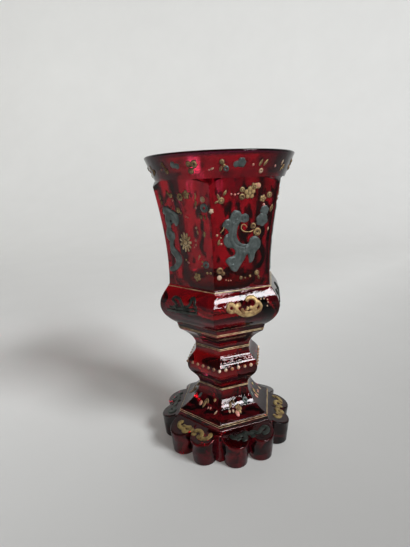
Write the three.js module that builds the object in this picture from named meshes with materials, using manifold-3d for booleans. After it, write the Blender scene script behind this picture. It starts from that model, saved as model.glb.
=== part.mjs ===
// Footed hexagonal goblet of ruby glass: a flaring bowl cut into six tall panels under a round
// rim band, a swelling below the panels, a stepped collar, a knop, and a foot that spreads into
// twelve lobes. Gilt lines mark the creases, a row of enamel beads runs round the knop, and
// scrolls in silver and gold lie on the panels and on the swelling.
// Millimetres, +Z up. The goblet stands on z = 0 with its axis on Z and one corner facing -Y.
import * as THREE from 'three';
import { mergeVertices } from 'three/addons/utils/BufferGeometryUtils.js';
import Module from 'manifold-3d';

const wasm = await Module();
wasm.setup();

// Heights of the forms, from the table up
const skirtEdgeHeight = 15.4;
const footBevelHeight = 3.2;
const coneHeight = 13.4;
const knopBelowBelly = 11.5;
const knopAboveBelly = 10.9;
const coveHeight = 9.9;
const ledgeHeight = 3.6;
const bulgeBelowBelly = 10.6;
const bulgeAboveBelly = 10.3;
const panelHeight = 47.3;
const shoulderHeight = 2.7;
const bandHeight = 11.2;

// Half widths of the hexagonal forms, measured to their corners
const footEdgeCorner = 27.75;
const footBreakCorner = 26.4;
const lowerNeckCorner = 14.95;
const knopCorner = 21.25;
const upperNeckCorner = 16.15;
const ledgeFootCorner = 24.6;
const ledgeTopCorner = 25.85;
const bulgeCorner = 33.95;
const creaseCorner = 28.57;
const shoulderCorner = 33.83;

// How the curved stretches turn: the share of each height at which its two tangents meet, the
// share of a knop's half that leaves each neck upright, and the panels' pull in and flare out
const coneTurn = 0.34;
const coveTurn = 0.47;
const bulgeUnderTurn = 0.5;
const bulgeTopTurn = 0.35;
const bulgeTopFullness = 0.85;
const softFullness = 2 / 3;
const knopEase = 0.44;
const panelPullIn = 0.87;
const panelFlare = 3.53;

// The round rim band and the blown hollow
const bandFootRadius = 31.8;
const rimRadius = 36.35;
const rimWall = 2.6;
const lipRounding = 0.9;
const panelWall = 2.2;
const floorAboveLedge = 12;
const hollowRounding = 14;

// The lobed foot: a pair of lobes to a side, each turned this far from the middle of its side
const lobeTurnDegrees = 14;
const lobeTipAtTable = 34.6;
const lobeTipAtTop = 36.2;
const lobeHalfWidth = 5.9;
const skirtFall = 0.3;
const notchCorner = 30.2;
const pontilRadius = 11;
const pontilDepth = 1.2;

// Gilding and enamel, which lie a hair above the glass
const seat = 0.02;
const gildThickness = 0.22;
const gildLineWidth = 1.1;
const creaseLineDrop = 0.5;
const ledgeLineDrop = 2.4;
const footLineDrop = 0.9;
const scrollThickness = 0.25;
const beadsPerSide = 6;
const beadRadius = 0.85;
const beadRowRise = 1.8;

// Outlines of the scrolls: across the side from its middle, and up from the crease on a panel
// or from the belly on the swelling. Two designs take turns round the goblet.
const panelScrolls = [
  [
    [-6, 35], [-4.5, 36.2], [-2, 35.6], [0.5, 34.3], [2.4, 33], [2, 30.6], [-0.5, 30.2],
    [-2.5, 29], [-3, 25], [-2, 22.2], [0.3, 20.3], [2.6, 20.8], [3.8, 23.4], [6.5, 24],
    [9, 21], [8.6, 18.3], [6.2, 15.3], [5.2, 12], [3.6, 11.6], [2.4, 15.6], [0, 12],
    [-2.8, 8], [-5.4, 9], [-8.4, 13.3], [-6.8, 15.2], [-3.9, 16.3], [-4.4, 18.8],
    [-8.2, 20], [-9.5, 23], [-7.2, 26.3], [-9.8, 29], [-9.6, 31.4], [-7.2, 32.6],
  ],
  [
    [-12.5, 38], [-10, 38.4], [-7.5, 36.7], [-4.4, 35.2], [-3.6, 32], [-5, 29.4],
    [-7.3, 30.6], [-9.2, 29.6], [-9.3, 27.2], [-7.6, 25], [-8.6, 22], [-9.4, 19.8],
    [-8, 18], [-5.4, 15.6], [-4.5, 12.4], [-6.3, 9.6], [-9.5, 7], [-13, 6.6],
    [-13.4, 8.4], [-10.5, 9.2], [-8.9, 12], [-10.6, 15.2], [-12, 17.4], [-11.2, 21],
    [-13.2, 23.6], [-12.4, 28], [-11.6, 31], [-12.6, 34.6],
  ],
];
const bulgeScrolls = [
  [
    [-6.2, 3.2], [-5.4, 4.5], [-4, 4.8], [-2.9, 3.6], [-2.2, 1.2], [0, 0.6], [1.2, 2],
    [0.2, 3.4], [-0.5, 4.8], [0.6, 6.5], [3.2, 6.6], [5.2, 5], [7, 2.8], [7.4, 0.8],
    [5.2, -0.9], [2.4, -2.1], [-0.4, -2.4], [-3.2, -1.2], [-5.8, 0.8], [-8, 0.4],
    [-10.2, 1.6], [-10.5, 3.8], [-9, 5.5], [-7, 5.2],
  ],
  [
    [-13.5, -1.5], [-11, 0.6], [-8.6, 1.8], [-9.4, 3.6], [-8.2, 5.2], [-5.8, 6],
    [-3.3, 4.9], [-0.8, 3.3], [1.4, 2.6], [2.9, 4], [2, 5.8], [3.4, 6.8], [5.6, 5.4],
    [6.2, 3.6], [8.4, 1], [7.6, -1.2], [4.4, -2], [0.5, -1.5], [-4, -2.3], [-8.5, -2.6],
    [-12, -2.6],
  ],
];

// Steps along the curves and round the turned forms
const bendSteps = 7;
const panelSteps = 8;
const hollowSteps = 4;
const pontilSteps = 3;
const lipSteps = 4;
const lobeSteps = 20;
const beadSteps = 7;
const roundSteps = 60;
const scrollPointSpacing = 1.8;

// How far the bodies that only cut others reach beyond them
const cutMargin = 8;

const sides = 6;
const sideTurn = (2 * Math.PI) / sides;
const cornerToFlat = Math.cos(sideTurn / 2);

const finishes = {
  ruby: { color: 0x7a0f1c, roughness: 0.08, metalness: 0 },
  gilt: { color: 0xb39a5c, roughness: 0.38, metalness: 0.9 },
  silver: { color: 0x6f7f7d, roughness: 0.45, metalness: 0.7 },
  enamel: { color: 0xd9c48a, roughness: 0.45, metalness: 0 },
};

// Levels worked out from the heights
const footBreakZ = skirtEdgeHeight + footBevelHeight;
const lowerNeckZ = footBreakZ + coneHeight;
const knopBellyZ = lowerNeckZ + knopBelowBelly;
const upperNeckZ = knopBellyZ + knopAboveBelly;
const ledgeFootZ = upperNeckZ + coveHeight;
const ledgeTopZ = ledgeFootZ + ledgeHeight;
const bulgeBellyZ = ledgeTopZ + bulgeBelowBelly;
const creaseZ = bulgeBellyZ + bulgeAboveBelly;
const shoulderZ = creaseZ + panelHeight;
const bandFootZ = shoulderZ + shoulderHeight;
const rimZ = bandFootZ + bandHeight;

const at = (r, z) => new THREE.Vector2(r, z);

// A stretch that leaves one point towards a meeting point and arrives at the next from there
function bend(from, meeting, to, fullness, steps = bendSteps) {
  const leave = from.clone().lerp(meeting, fullness);
  const arrive = to.clone().lerp(meeting, fullness);
  return new THREE.CubicBezierCurve(from, leave, arrive, to).getPoints(steps);
}

// A stretch that leaves and arrives upright, as the side of a knop does
function swell(from, to) {
  const rise = (to.y - from.y) * knopEase;
  return new THREE.CubicBezierCurve(
    from, at(from.x, from.y + rise), at(to.x, to.y - rise), to,
  ).getPoints(bendSteps);
}

// The outer line of the goblet, as corner half width against height
const coneLine = bend(
  at(footBreakCorner, footBreakZ),
  at(lowerNeckCorner, footBreakZ + coneTurn * coneHeight),
  at(lowerNeckCorner, lowerNeckZ),
  softFullness,
);
const knopLine = [
  ...swell(at(lowerNeckCorner, lowerNeckZ), at(knopCorner, knopBellyZ)),
  ...swell(at(knopCorner, knopBellyZ), at(upperNeckCorner, upperNeckZ)).slice(1),
];
const coveLine = bend(
  at(upperNeckCorner, upperNeckZ),
  at(upperNeckCorner, upperNeckZ + coveTurn * coveHeight),
  at(ledgeFootCorner, ledgeFootZ),
  softFullness,
);
const bulgeLine = [
  ...bend(
    at(ledgeTopCorner, ledgeTopZ),
    at(bulgeCorner, ledgeTopZ + bulgeUnderTurn * bulgeBelowBelly),
    at(bulgeCorner, bulgeBellyZ),
    softFullness,
  ),
  ...bend(
    at(bulgeCorner, bulgeBellyZ),
    at(bulgeCorner, bulgeBellyZ + bulgeTopTurn * bulgeAboveBelly),
    at(creaseCorner, creaseZ),
    bulgeTopFullness,
  ).slice(1),
];
const panelCurve = new THREE.CubicBezierCurve(
  at(creaseCorner, creaseZ),
  at(creaseCorner - panelPullIn, creaseZ + panelHeight / 3),
  at(shoulderCorner - panelFlare, shoulderZ - panelHeight / 3),
  at(shoulderCorner, shoulderZ),
);
const panelLine = panelCurve.getPoints(panelSteps);

// The panels run on behind the shoulder, as steep as they arrive there, to the foot of the band
const panelTopCorner = shoulderCorner + (panelFlare / (panelHeight / 3)) * shoulderHeight;
const footLine = [at(footEdgeCorner, skirtEdgeHeight), ...coneLine];
const collarLine = [...coveLine, at(ledgeTopCorner, ledgeTopZ)];
const bowlLine = [...bulgeLine, ...panelLine.slice(1), at(panelTopCorner, bandFootZ)];

function solidOf(geometry) {
  const bare = geometry.index ? geometry.toNonIndexed() : geometry.clone();
  bare.deleteAttribute('normal');
  bare.deleteAttribute('uv');
  const merged = mergeVertices(bare, 1e-4);
  return new wasm.Manifold(new wasm.Mesh({
    numProp: 3,
    vertProperties: new Float32Array(merged.attributes.position.array),
    triVerts: new Uint32Array(merged.index.array),
  }));
}

// Turns a line of radius and height into a solid round Z. With six steps its corners are the
// goblet's corners, and the first of them faces -Y.
function turned(line, steps) {
  return solidOf(new THREE.LatheGeometry(line, steps).rotateX(Math.PI / 2));
}

function capped(line, steps) {
  return turned([at(0, line[0].y), ...line, at(0, line[line.length - 1].y)], steps);
}

// A hexagonal line moved out by a distance measured square to the flat sides
function lifted(line, distance) {
  const flat = line.map((p) => at(p.x * cornerToFlat, p.y));
  return flat.map((p, i) => {
    const before = flat[Math.max(i - 1, 0)];
    const after = flat[Math.min(i + 1, flat.length - 1)];
    const inward = i > 0 ? p.clone().sub(before).normalize() : after.clone().sub(p).normalize();
    const onward = i < flat.length - 1 ? after.clone().sub(p).normalize() : inward;
    const along = inward.clone().add(onward).normalize();
    const reach = distance / along.dot(onward);
    return at((p.x + along.y * reach) / cornerToFlat, p.y - along.x * reach);
  });
}

// The part of a line between two heights, cut through its own straight pieces
function stretch(line, low, high) {
  const cut = (z) => {
    const i = line.findIndex((p, n) => n > 0 && p.y >= z);
    const share = (z - line[i - 1].y) / (line[i].y - line[i - 1].y);
    return line[i - 1].clone().lerp(line[i], share);
  };
  return [cut(low), ...line.filter((p) => p.y > low && p.y < high), cut(high)];
}

// A thin hexagonal coat that follows a line
function coat(line, thickness) {
  const inner = lifted(line, seat);
  const outer = lifted(line, seat + thickness);
  return turned([...outer, ...inner.reverse(), outer[0]], sides);
}

const middleOf = (side) => (side + 0.5) * sideTurn;
const cornerPoint = (corner, reach) => at(
  Math.sin(corner * sideTurn), -Math.cos(corner * sideTurn),
).multiplyScalar(reach);
const goblet = new THREE.Group();

function add(name, solid, finish) {
  const mesh = solid.getMesh();
  const geometry = new THREE.BufferGeometry();
  geometry.setAttribute('position', new THREE.BufferAttribute(mesh.vertProperties, 3));
  geometry.setIndex(new THREE.BufferAttribute(mesh.triVerts, 1));
  geometry.computeVertexNormals();
  const part = new THREE.Mesh(geometry, new THREE.MeshStandardMaterial(finish));
  part.name = name;
  goblet.add(part);
}

function makeFoot() {
  const skirtReach = lobeTipAtTop + cutMargin;
  const skirtFoot = skirtEdgeHeight - (skirtReach - footEdgeCorner) * cornerToFlat * skirtFall;
  const body = capped([at(skirtReach, 0), at(skirtReach, skirtFoot), ...footLine], sides);
  const lobeCentre = lobeTipAtTable - lobeHalfWidth;
  const lobe = solidOf(new THREE.CylinderGeometry(
    lobeTipAtTop - lobeCentre, lobeHalfWidth, skirtEdgeHeight, lobeSteps,
  ).rotateX(Math.PI / 2));
  const lobeTurn = THREE.MathUtils.degToRad(lobeTurnDegrees);
  let plan = capped([at(notchCorner, 0), at(notchCorner, lowerNeckZ)], sides);
  for (let side = 0; side < sides; side += 1) {
    for (const turn of [middleOf(side) - lobeTurn, middleOf(side) + lobeTurn]) {
      plan = plan.add(lobe.translate(
        lobeCentre * Math.sin(turn), -lobeCentre * Math.cos(turn), skirtEdgeHeight / 2,
      ));
    }
  }
  const pontilDome = bend(
    at(pontilRadius, 0), at(pontilRadius / 2, pontilDepth), at(0, pontilDepth),
    softFullness, pontilSteps,
  );
  const pontil = turned([at(0, -cutMargin), at(pontilRadius, -cutMargin), ...pontilDome], roundSteps / 2);
  return body.intersect(plan).subtract(pontil);
}

function makeBowl() {
  const shoulderFall = shoulderHeight / (shoulderCorner - bandFootRadius);
  const shoulderReach = bulgeCorner + cutMargin;
  const shoulderCut = capped([
    at(shoulderReach, ledgeTopZ),
    at(shoulderReach, bandFootZ - (shoulderReach - bandFootRadius) * shoulderFall),
    at(bandFootRadius, bandFootZ),
  ], roundSteps);
  const lipTurn = new THREE.EllipseCurve(
    rimRadius - lipRounding, rimZ - lipRounding, lipRounding, lipRounding, 0, Math.PI / 2,
  ).getPoints(lipSteps);
  const band = capped([at(bandFootRadius, bandFootZ), ...lipTurn], roundSteps);
  const floorZ = ledgeTopZ + floorAboveLedge;
  const wallFootZ = floorZ + hollowRounding;
  const behindPanels = [...panelCurve.getPoints(hollowSteps), at(panelTopCorner, bandFootZ)];
  const innerWall = stretch(behindPanels, wallFootZ, bandFootZ)
    .map((p) => at(p.x * cornerToFlat - panelWall, p.y));
  const innerLip = new THREE.EllipseCurve(
    rimRadius - rimWall + lipRounding, rimZ - lipRounding, lipRounding, lipRounding,
    Math.PI, Math.PI / 2, true,
  ).getPoints(lipSteps);
  const floorTurn = bend(at(0, floorZ), at(innerWall[0].x, floorZ), innerWall[0], softFullness);
  const mouth = innerLip[innerLip.length - 1];
  const hollow = turned([
    ...floorTurn, ...innerWall.slice(1), ...innerLip,
    at(mouth.x, rimZ + cutMargin), at(0, rimZ + cutMargin),
  ], roundSteps);
  return capped(bowlLine, sides).intersect(shoulderCut).add(band).subtract(hollow);
}

add('foot', makeFoot(), finishes.ruby);
add('knop', capped(knopLine, sides), finishes.ruby);
add('collar', capped(collarLine, sides), finishes.ruby);
add('bowl', makeBowl(), finishes.ruby);

// A gilt line runs over the glass at each crease. The lines at the necks cover the seams there.
const outerLine = [...footLine, ...knopLine.slice(1), ...collarLine.slice(1), ...bowlLine.slice(1)];
const lineLevels = {
  foot_gilt_line: footBreakZ - footLineDrop,
  lower_neck_gilt_line: lowerNeckZ,
  upper_neck_gilt_line: upperNeckZ,
  ledge_gilt_line: ledgeTopZ - ledgeLineDrop,
  crease_gilt_line: creaseZ - creaseLineDrop,
};
for (const [name, level] of Object.entries(lineLevels)) {
  const under = stretch(outerLine, level - gildLineWidth / 2, level + gildLineWidth / 2);
  add(name, coat(under, gildThickness), finishes.gilt);
}

// Enamel beads stand in a level row just above the belly of the knop, one of them on each corner
const beadRowZ = knopBellyZ + beadRowRise;
const beadRowCorner = stretch(knopLine, beadRowZ, upperNeckZ)[0].x;
const knopWithSeat = capped(lifted(knopLine, seat), sides);
const bead = solidOf(new THREE.SphereGeometry(beadRadius, beadSteps, beadSteps));
for (let side = 0; side < sides; side += 1) {
  const from = cornerPoint(side, beadRowCorner);
  const to = cornerPoint(side + 1, beadRowCorner);
  for (let i = 0; i < beadsPerSide; i += 1) {
    const place = from.clone().lerp(to, i / beadsPerSide);
    const solid = bead.translate(place.x, place.y, beadRowZ).subtract(knopWithSeat);
    add(`enamel_bead_${side + 1}_${i + 1}`, solid, finishes.enamel);
  }
}

// A scroll is a flat outline pushed outward from the axis through the coat of its side
function scroll(outline, side, baseZ, sheet) {
  const edge = new THREE.CatmullRomCurve3(
    outline.map(([across, rise]) => new THREE.Vector3(across, rise, 0)), true,
  );
  const count = Math.round(edge.getLength() / scrollPointSpacing);
  const shape = new THREE.Shape(edge.getSpacedPoints(count).slice(1).map((p) => at(p.x, p.y)));
  const turn = middleOf(side);
  const along = new THREE.Vector3(Math.cos(turn), Math.sin(turn), 0);
  const upward = new THREE.Vector3(0, 0, 1);
  const outward = new THREE.Vector3(Math.sin(turn), -Math.cos(turn), 0);
  const placed = new THREE.Matrix4().makeBasis(along, upward, outward).setPosition(0, 0, baseZ);
  const block = new THREE.ExtrudeGeometry(shape, { depth: rimRadius * 2, bevelEnabled: false });
  return solidOf(block.applyMatrix4(placed)).intersect(sheet);
}

const panelSheet = coat(stretch(outerLine, creaseZ, shoulderZ), scrollThickness);
const bulgeSheet = coat(stretch(outerLine, ledgeTopZ, creaseZ - gildLineWidth), scrollThickness);
for (let side = 0; side < sides; side += 1) {
  const design = side % 2;
  add(
    `panel_scroll_${side + 1}`,
    scroll(panelScrolls[design], side, creaseZ, panelSheet), finishes.silver,
  );
  add(
    `bulge_scroll_${side + 1}`,
    scroll(bulgeScrolls[design], side, bulgeBellyZ, bulgeSheet),
    design === 0 ? finishes.gilt : finishes.silver,
  );
}

export default goblet;
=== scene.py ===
import math
import bmesh
import bpy
import numpy as np
from mathutils import Matrix, Vector
from mathutils.geometry import delaunay_2d_cdt


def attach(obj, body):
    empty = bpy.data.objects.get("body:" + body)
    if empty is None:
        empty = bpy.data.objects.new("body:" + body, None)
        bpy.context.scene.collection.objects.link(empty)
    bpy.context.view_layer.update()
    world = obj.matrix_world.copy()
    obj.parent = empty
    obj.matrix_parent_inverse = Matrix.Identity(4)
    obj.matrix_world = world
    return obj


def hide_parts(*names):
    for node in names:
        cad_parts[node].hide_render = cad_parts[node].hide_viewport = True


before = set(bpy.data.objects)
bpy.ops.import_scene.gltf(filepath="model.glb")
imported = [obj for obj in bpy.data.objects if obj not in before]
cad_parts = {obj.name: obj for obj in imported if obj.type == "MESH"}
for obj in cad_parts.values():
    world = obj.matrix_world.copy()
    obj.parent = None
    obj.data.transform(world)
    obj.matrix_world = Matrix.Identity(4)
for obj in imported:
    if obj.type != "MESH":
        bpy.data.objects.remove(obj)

# Footed hexagonal goblet of ruby glass. Sizes are in millimetres unless a note says metres, and mm turns
# them into metres.
mm = 0.001
sides = 6
sideTurn = math.tau / sides
cornerToFlat = math.cos(sideTurn / 2)
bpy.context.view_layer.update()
scene = bpy.context.scene
print("frame loaded:", len(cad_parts), "nodes")

# Camera

view = {
    "place": (25.12, -196.46, 136.92),
    "heading": -9.851,     # degrees from +Y towards +X
    "downward": 13.087,
    "roll": -2.228,
    "lens": 34.04,
    "frameWidth": 36,
    "clip": (0.005, 20),   # metres
}


def makeCamera():
    data = bpy.data.cameras.new("goblet_camera")
    data.sensor_fit = "HORIZONTAL"
    data.sensor_width = view["frameWidth"]
    data.lens = view["lens"]
    data.clip_start, data.clip_end = view["clip"]
    camera = bpy.data.objects.new("goblet_camera", data)
    turn = Matrix.Rotation(math.radians(-view["heading"]), 4, "Z")
    tip = Matrix.Rotation(math.radians(90 - view["downward"]), 4, "X")
    roll = Matrix.Rotation(math.radians(view["roll"]), 4, "Z")
    camera.matrix_world = Matrix.Translation(Vector(view["place"]) * mm) @ turn @ tip @ roll
    scene.collection.objects.link(camera)
    scene.camera = camera


makeCamera()
print("camera placed")

# The forms of the glass: half width over the corners, and height
levels = {
    "footEdge": (27.75, 15.4),
    "footBreak": (26.4, 18.6),
    "lowerNeck": (14.95, 32.0),
    "knop": (21.25, 43.5),
    "upperNeck": (16.15, 54.4),
    "ledgeFoot": (24.6, 64.3),
    "ledgeTop": (25.85, 67.9),
    "bulge": (33.95, 78.5),
    "crease": (28.57, 88.8),
    "shoulder": (33.83, 136.1),
}

# How the outline bends between them. The tangents at the ends of a curve meet at a share of its rise, and
# its fullness says how closely it keeps to them.
turns = {
    "cone": 0.38,
    "coneFullness": 0.6,
    "cove": 0.47,
    "bulgeUnder": 0.5,
    "bulgeTop": 0.35,
    "bulgeTopFullness": 0.85,
    "knopFacet": (0.25, 0.71),    # where the facet's line meets that of the belly and that of the neck
    "knopFullness": (0.85, 0.95),
    "soft": 2 / 3,          # fullness of the other curves
    "knopEase": 0.44,       # how upright the knop leaves its neck and reaches its belly
    "panelPullIn": 0.87,    # how far a panel leans in above the crease
    "panelFlare": 3.53,     # how far it leans out below the shoulder
    "steps": 12,
    "panelSteps": 20,
}


def bezier(a, b, c, d, steps):
    points = []
    for i in range(steps + 1):
        t = i / steps
        s = 1 - t
        weights = (s ** 3, 3 * s * s * t, 3 * s * t * t, t ** 3)
        points.append(tuple(sum(w * p[k] for w, p in zip(weights, (a, b, c, d))) for k in (0, 1)))
    return points


def between(a, b, share):
    return tuple(x + (y - x) * share for x, y in zip(a, b))


# A curve between two points, whose tangents meet at a third
def bend(a, meeting, b, fullness, steps=turns["steps"]):
    return bezier(a, between(a, meeting, fullness), between(b, meeting, fullness), b, steps)


# A curve that leaves one point upright and reaches the other upright
def swell(a, b):
    rise = (b[1] - a[1]) * turns["knopEase"]
    return bezier(a, (a[0], a[1] + rise), (b[0], b[1] - rise), b, turns["steps"])


# As wide as one level, and as high as a share of the way between two
def meetingPoint(widthOf, low, high, share):
    return levels[widthOf][0], levels[low][1] + share * (levels[high][1] - levels[low][1])


def formLines():
    at = levels
    coneMeeting = meetingPoint("lowerNeck", "footBreak", "lowerNeck", turns["cone"])
    facetLow = meetingPoint("knop", "knop", "upperNeck", turns["knopFacet"][0])
    facetHigh = meetingPoint("upperNeck", "knop", "upperNeck", turns["knopFacet"][1])
    facetMiddle = between(facetLow, facetHigh, 0.5)
    coveMeeting = meetingPoint("upperNeck", "upperNeck", "ledgeFoot", turns["cove"])
    underMeeting = meetingPoint("bulge", "ledgeTop", "bulge", turns["bulgeUnder"])
    topMeeting = meetingPoint("bulge", "bulge", "crease", turns["bulgeTop"])
    third = (at["shoulder"][1] - at["crease"][1]) / 3
    pulledIn = (at["crease"][0] - turns["panelPullIn"], at["crease"][1] + third)
    flared = (at["shoulder"][0] - turns["panelFlare"], at["shoulder"][1] - third)
    made = {
        "foot": [at["footEdge"]]
        + bend(at["footBreak"], coneMeeting, at["lowerNeck"], turns["coneFullness"]),
        "knop": swell(at["lowerNeck"], at["knop"])
        + bend(at["knop"], facetLow, facetMiddle, turns["knopFullness"][0])[1:]
        + bend(facetMiddle, facetHigh, at["upperNeck"], turns["knopFullness"][1])[1:],
        "collar": bend(at["upperNeck"], coveMeeting, at["ledgeFoot"], turns["soft"])
        + [at["ledgeTop"]],
        "bulge": bend(at["ledgeTop"], underMeeting, at["bulge"], turns["soft"])
        + bend(at["bulge"], topMeeting, at["crease"], turns["bulgeTopFullness"])[1:],
        "panel": bezier(at["crease"], pulledIn, flared, at["shoulder"], turns["panelSteps"]),
    }
    return {name: [(r * cornerToFlat, z) for r, z in line] for name, line in made.items()}


lines = formLines()          # from here on half widths are those to the flat sides

polish = {
    "least": 12,            # degrees of turn below which a point of a line stays as it is
    "reach": 0.45,          # how much of the line on either side an arc may take up
    "fullness": 0.56,
    "steps": 4,
    "edgeSteps": 4,         # steps round a cut edge
    "sharpFrom": 38,        # degrees between two faces from which the edge between them looks sharp
    "evenness": 80,         # weight of the modifier that evens the normals
}


# Turns the sharp points of a line into small arcs, as polishing leaves them
def polished(line, radius):
    out = [line[0]]
    for before, here, after in zip(line, line[1:], line[2:]):
        a, p, b = Vector(before), Vector(here), Vector(after)
        turn = (p - a).angle(b - p)
        if turn < math.radians(polish["least"]):
            out.append(here)
            continue
        room = min((p - a).length * polish["reach"], (b - p).length * polish["reach"])
        reach = min(radius * math.tan(turn / 2), room)
        start = p + (a - p).normalized() * reach
        end = p + (b - p).normalized() * reach
        out += bend(tuple(start), here, tuple(end), polish["fullness"], polish["steps"])
    return out + [line[-1]]


# The turns of a rounded edge, from none to a quarter of a circle
def quarterTurns(steps):
    return [math.pi / 2 * i / steps for i in range(steps + 1)]


def onCircle(angle):
    return Vector((math.cos(angle), math.sin(angle)))


# Out from the axis, by the angle from the front corner
def outward(angle):
    return Vector((math.sin(angle), -math.cos(angle)))


# The directions of a side: out from the axis, and along the side
def sideDirections(side):
    middle = (side + 0.5) * sideTurn
    return outward(middle), onCircle(middle)


# The points round a six-sided section, each as a share of the half width and of the corner radius:
# places along a side as shares from -1 to 1, then the corner's arc
def hexUnits(shares):
    units = []
    slant = math.tan(sideTurn / 2)
    for side in range(sides):
        out, along = sideDirections(side)
        units += [(out + along * slant * share, -along * slant * share) for share in shares]
        for i in range(1, polish["edgeSteps"]):
            onArc = outward((side + 0.5 + i / polish["edgeSteps"]) * sideTurn)
            units.append((out + along * slant, onArc - out - along * slant))
    return units


def hexRing(flat, z, shares, edge):
    points = [byWidth * flat + byEdge * edge for byWidth, byEdge in hexUnits(shares)]
    return [(p.x, p.y, z) for p in points]


def evenShares(steps):
    return [2 * i / steps - 1 for i in range(steps + 1)]


# Angles for round rings of as many points as the six-sided one that they meet, from its first point on
def anglesFrom(first, count):
    start = math.atan2(first[1], first[0])
    return [start + math.tau * i / count for i in range(count)]


def roundRing(angles, r, z):
    return [(r * math.cos(a), r * math.sin(a), z) for a in angles]


def objectOf(name, bm):
    mesh = bpy.data.meshes.new(name)
    bm.to_mesh(mesh)
    bm.free()
    piece = bpy.data.objects.new(name, mesh)
    scene.collection.objects.link(piece)
    return piece


seamSlot, insideSlot = 1, 2         # of a piece's materials, after its outer glass


# Joins rings of equal length, and closes each end with the seam to the next piece or with a point
def meshOfRings(name, rings, startCap, endCap):
    bm = bmesh.new()
    made = [[bm.verts.new(Vector(p) * mm) for p in ring] for ring in rings]
    count = len(rings[0])
    for low, high in zip(made, made[1:]):
        for i in range(count):
            j = (i + 1) % count
            bm.faces.new((low[i], low[j], high[j], high[i]))
    for ring, cap, flip in ((made[0], startCap, True), (made[-1], endCap, False)):
        if cap == "seam":
            face = bm.faces.new(list(reversed(ring)) if flip else ring)
            face.material_index = seamSlot
        else:
            z = sum(v.co.z for v in ring) / count
            centre = bm.verts.new((0, 0, z))
            for i in range(count):
                j = (i + 1) % count
                bm.faces.new((ring[j], ring[i], centre) if flip else (ring[i], ring[j], centre))
    return objectOf(name, bm)


def smoothGlass(piece):
    mesh = piece.data
    mesh.shade_smooth()
    mesh.set_sharp_from_angle(angle=math.radians(polish["sharpFrom"]))
    even = piece.modifiers.new("even_normals", "WEIGHTED_NORMAL")
    even.keep_sharp = True
    even.weight = polish["evenness"]
    return piece


def dress(piece, materials, slotName, *nodes):
    for material in materials:
        piece.data.materials.append(material)
    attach(piece, "root")
    if nodes:
        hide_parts(*nodes)
    return piece


# Materials. Patches, waves and fades are effects that several of them share.


def newMaterial(name):
    material = bpy.data.materials.new(name)
    material.use_nodes = True
    return material, material.node_tree.nodes, material.node_tree.links


def newGroup(name, inputs, output):
    group = bpy.data.node_groups.new(name, "ShaderNodeTree")
    for label, value in inputs.items():
        socket = group.interface.new_socket(label, in_out="INPUT", socket_type="NodeSocketFloat")
        socket.default_value = value
    group.interface.new_socket(output, in_out="OUTPUT", socket_type="NodeSocketFloat")
    return group, group.nodes.new("NodeGroupInput"), group.nodes.new("NodeGroupOutput")


# Soft-edged patches: Scale is how many fit in a metre, Cover how much of the surface they take
def makePatches():
    inputs = {"Scale": 200, "Cover": 0.5, "Softness": 0.08}
    group, given, result = newGroup("patches", inputs, "Mask")
    nodes, links = group.nodes, group.links
    place = nodes.new("ShaderNodeTexCoord")
    noise = nodes.new("ShaderNodeTexNoise")
    noise.inputs["Detail"].default_value = 5
    noise.inputs["Roughness"].default_value = 0.6
    low = nodes.new("ShaderNodeMath")
    low.operation = "SUBTRACT"
    high = nodes.new("ShaderNodeMath")
    level = nodes.new("ShaderNodeMapRange")
    links.new(place.outputs["Object"], noise.inputs["Vector"])
    links.new(given.outputs["Scale"], noise.inputs["Scale"])
    for edge, socket in ((low, "From Min"), (high, "From Max")):
        links.new(given.outputs["Cover"], edge.inputs[0])
        links.new(given.outputs["Softness"], edge.inputs[1])
        links.new(edge.outputs[0], level.inputs[socket])
    links.new(noise.outputs["Fac"], level.inputs["Value"])
    level.inputs["To Min"].default_value = 1
    level.inputs["To Max"].default_value = 0
    links.new(level.outputs["Result"], result.inputs["Mask"])
    return group


# Waves and grain: Across and Upward are how many waves fit in a metre each way. Lean slants them.
def makeWaves():
    inputs = {"Across": 150, "Upward": 150, "Lean": 0, "Detail": 2}
    group, given, result = newGroup("waves", inputs, "Height")
    nodes, links = group.nodes, group.links
    place = nodes.new("ShaderNodeTexCoord")
    height = nodes.new("ShaderNodeSeparateXYZ")
    slant = nodes.new("ShaderNodeMath")
    slant.operation = "MULTIPLY"
    shift = nodes.new("ShaderNodeCombineXYZ")
    leaning = nodes.new("ShaderNodeVectorMath")
    leaning.operation = "SUBTRACT"
    stretch = nodes.new("ShaderNodeCombineXYZ")
    scaled = nodes.new("ShaderNodeVectorMath")
    scaled.operation = "MULTIPLY"
    noise = nodes.new("ShaderNodeTexNoise")
    noise.inputs["Scale"].default_value = 1
    for axis, label in (("X", "Across"), ("Y", "Across"), ("Z", "Upward")):
        links.new(given.outputs[label], stretch.inputs[axis])
    links.new(place.outputs["Object"], height.inputs["Vector"])
    links.new(height.outputs["Z"], slant.inputs[0])
    links.new(given.outputs["Lean"], slant.inputs[1])
    for axis in ("X", "Y"):
        links.new(slant.outputs[0], shift.inputs[axis])
    links.new(place.outputs["Object"], leaning.inputs[0])
    links.new(shift.outputs["Vector"], leaning.inputs[1])
    links.new(leaning.outputs["Vector"], scaled.inputs[0])
    links.new(stretch.outputs["Vector"], scaled.inputs[1])
    links.new(scaled.outputs["Vector"], noise.inputs["Vector"])
    links.new(given.outputs["Detail"], noise.inputs["Detail"])
    links.new(noise.outputs["Fac"], result.inputs["Height"])
    return group


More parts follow.
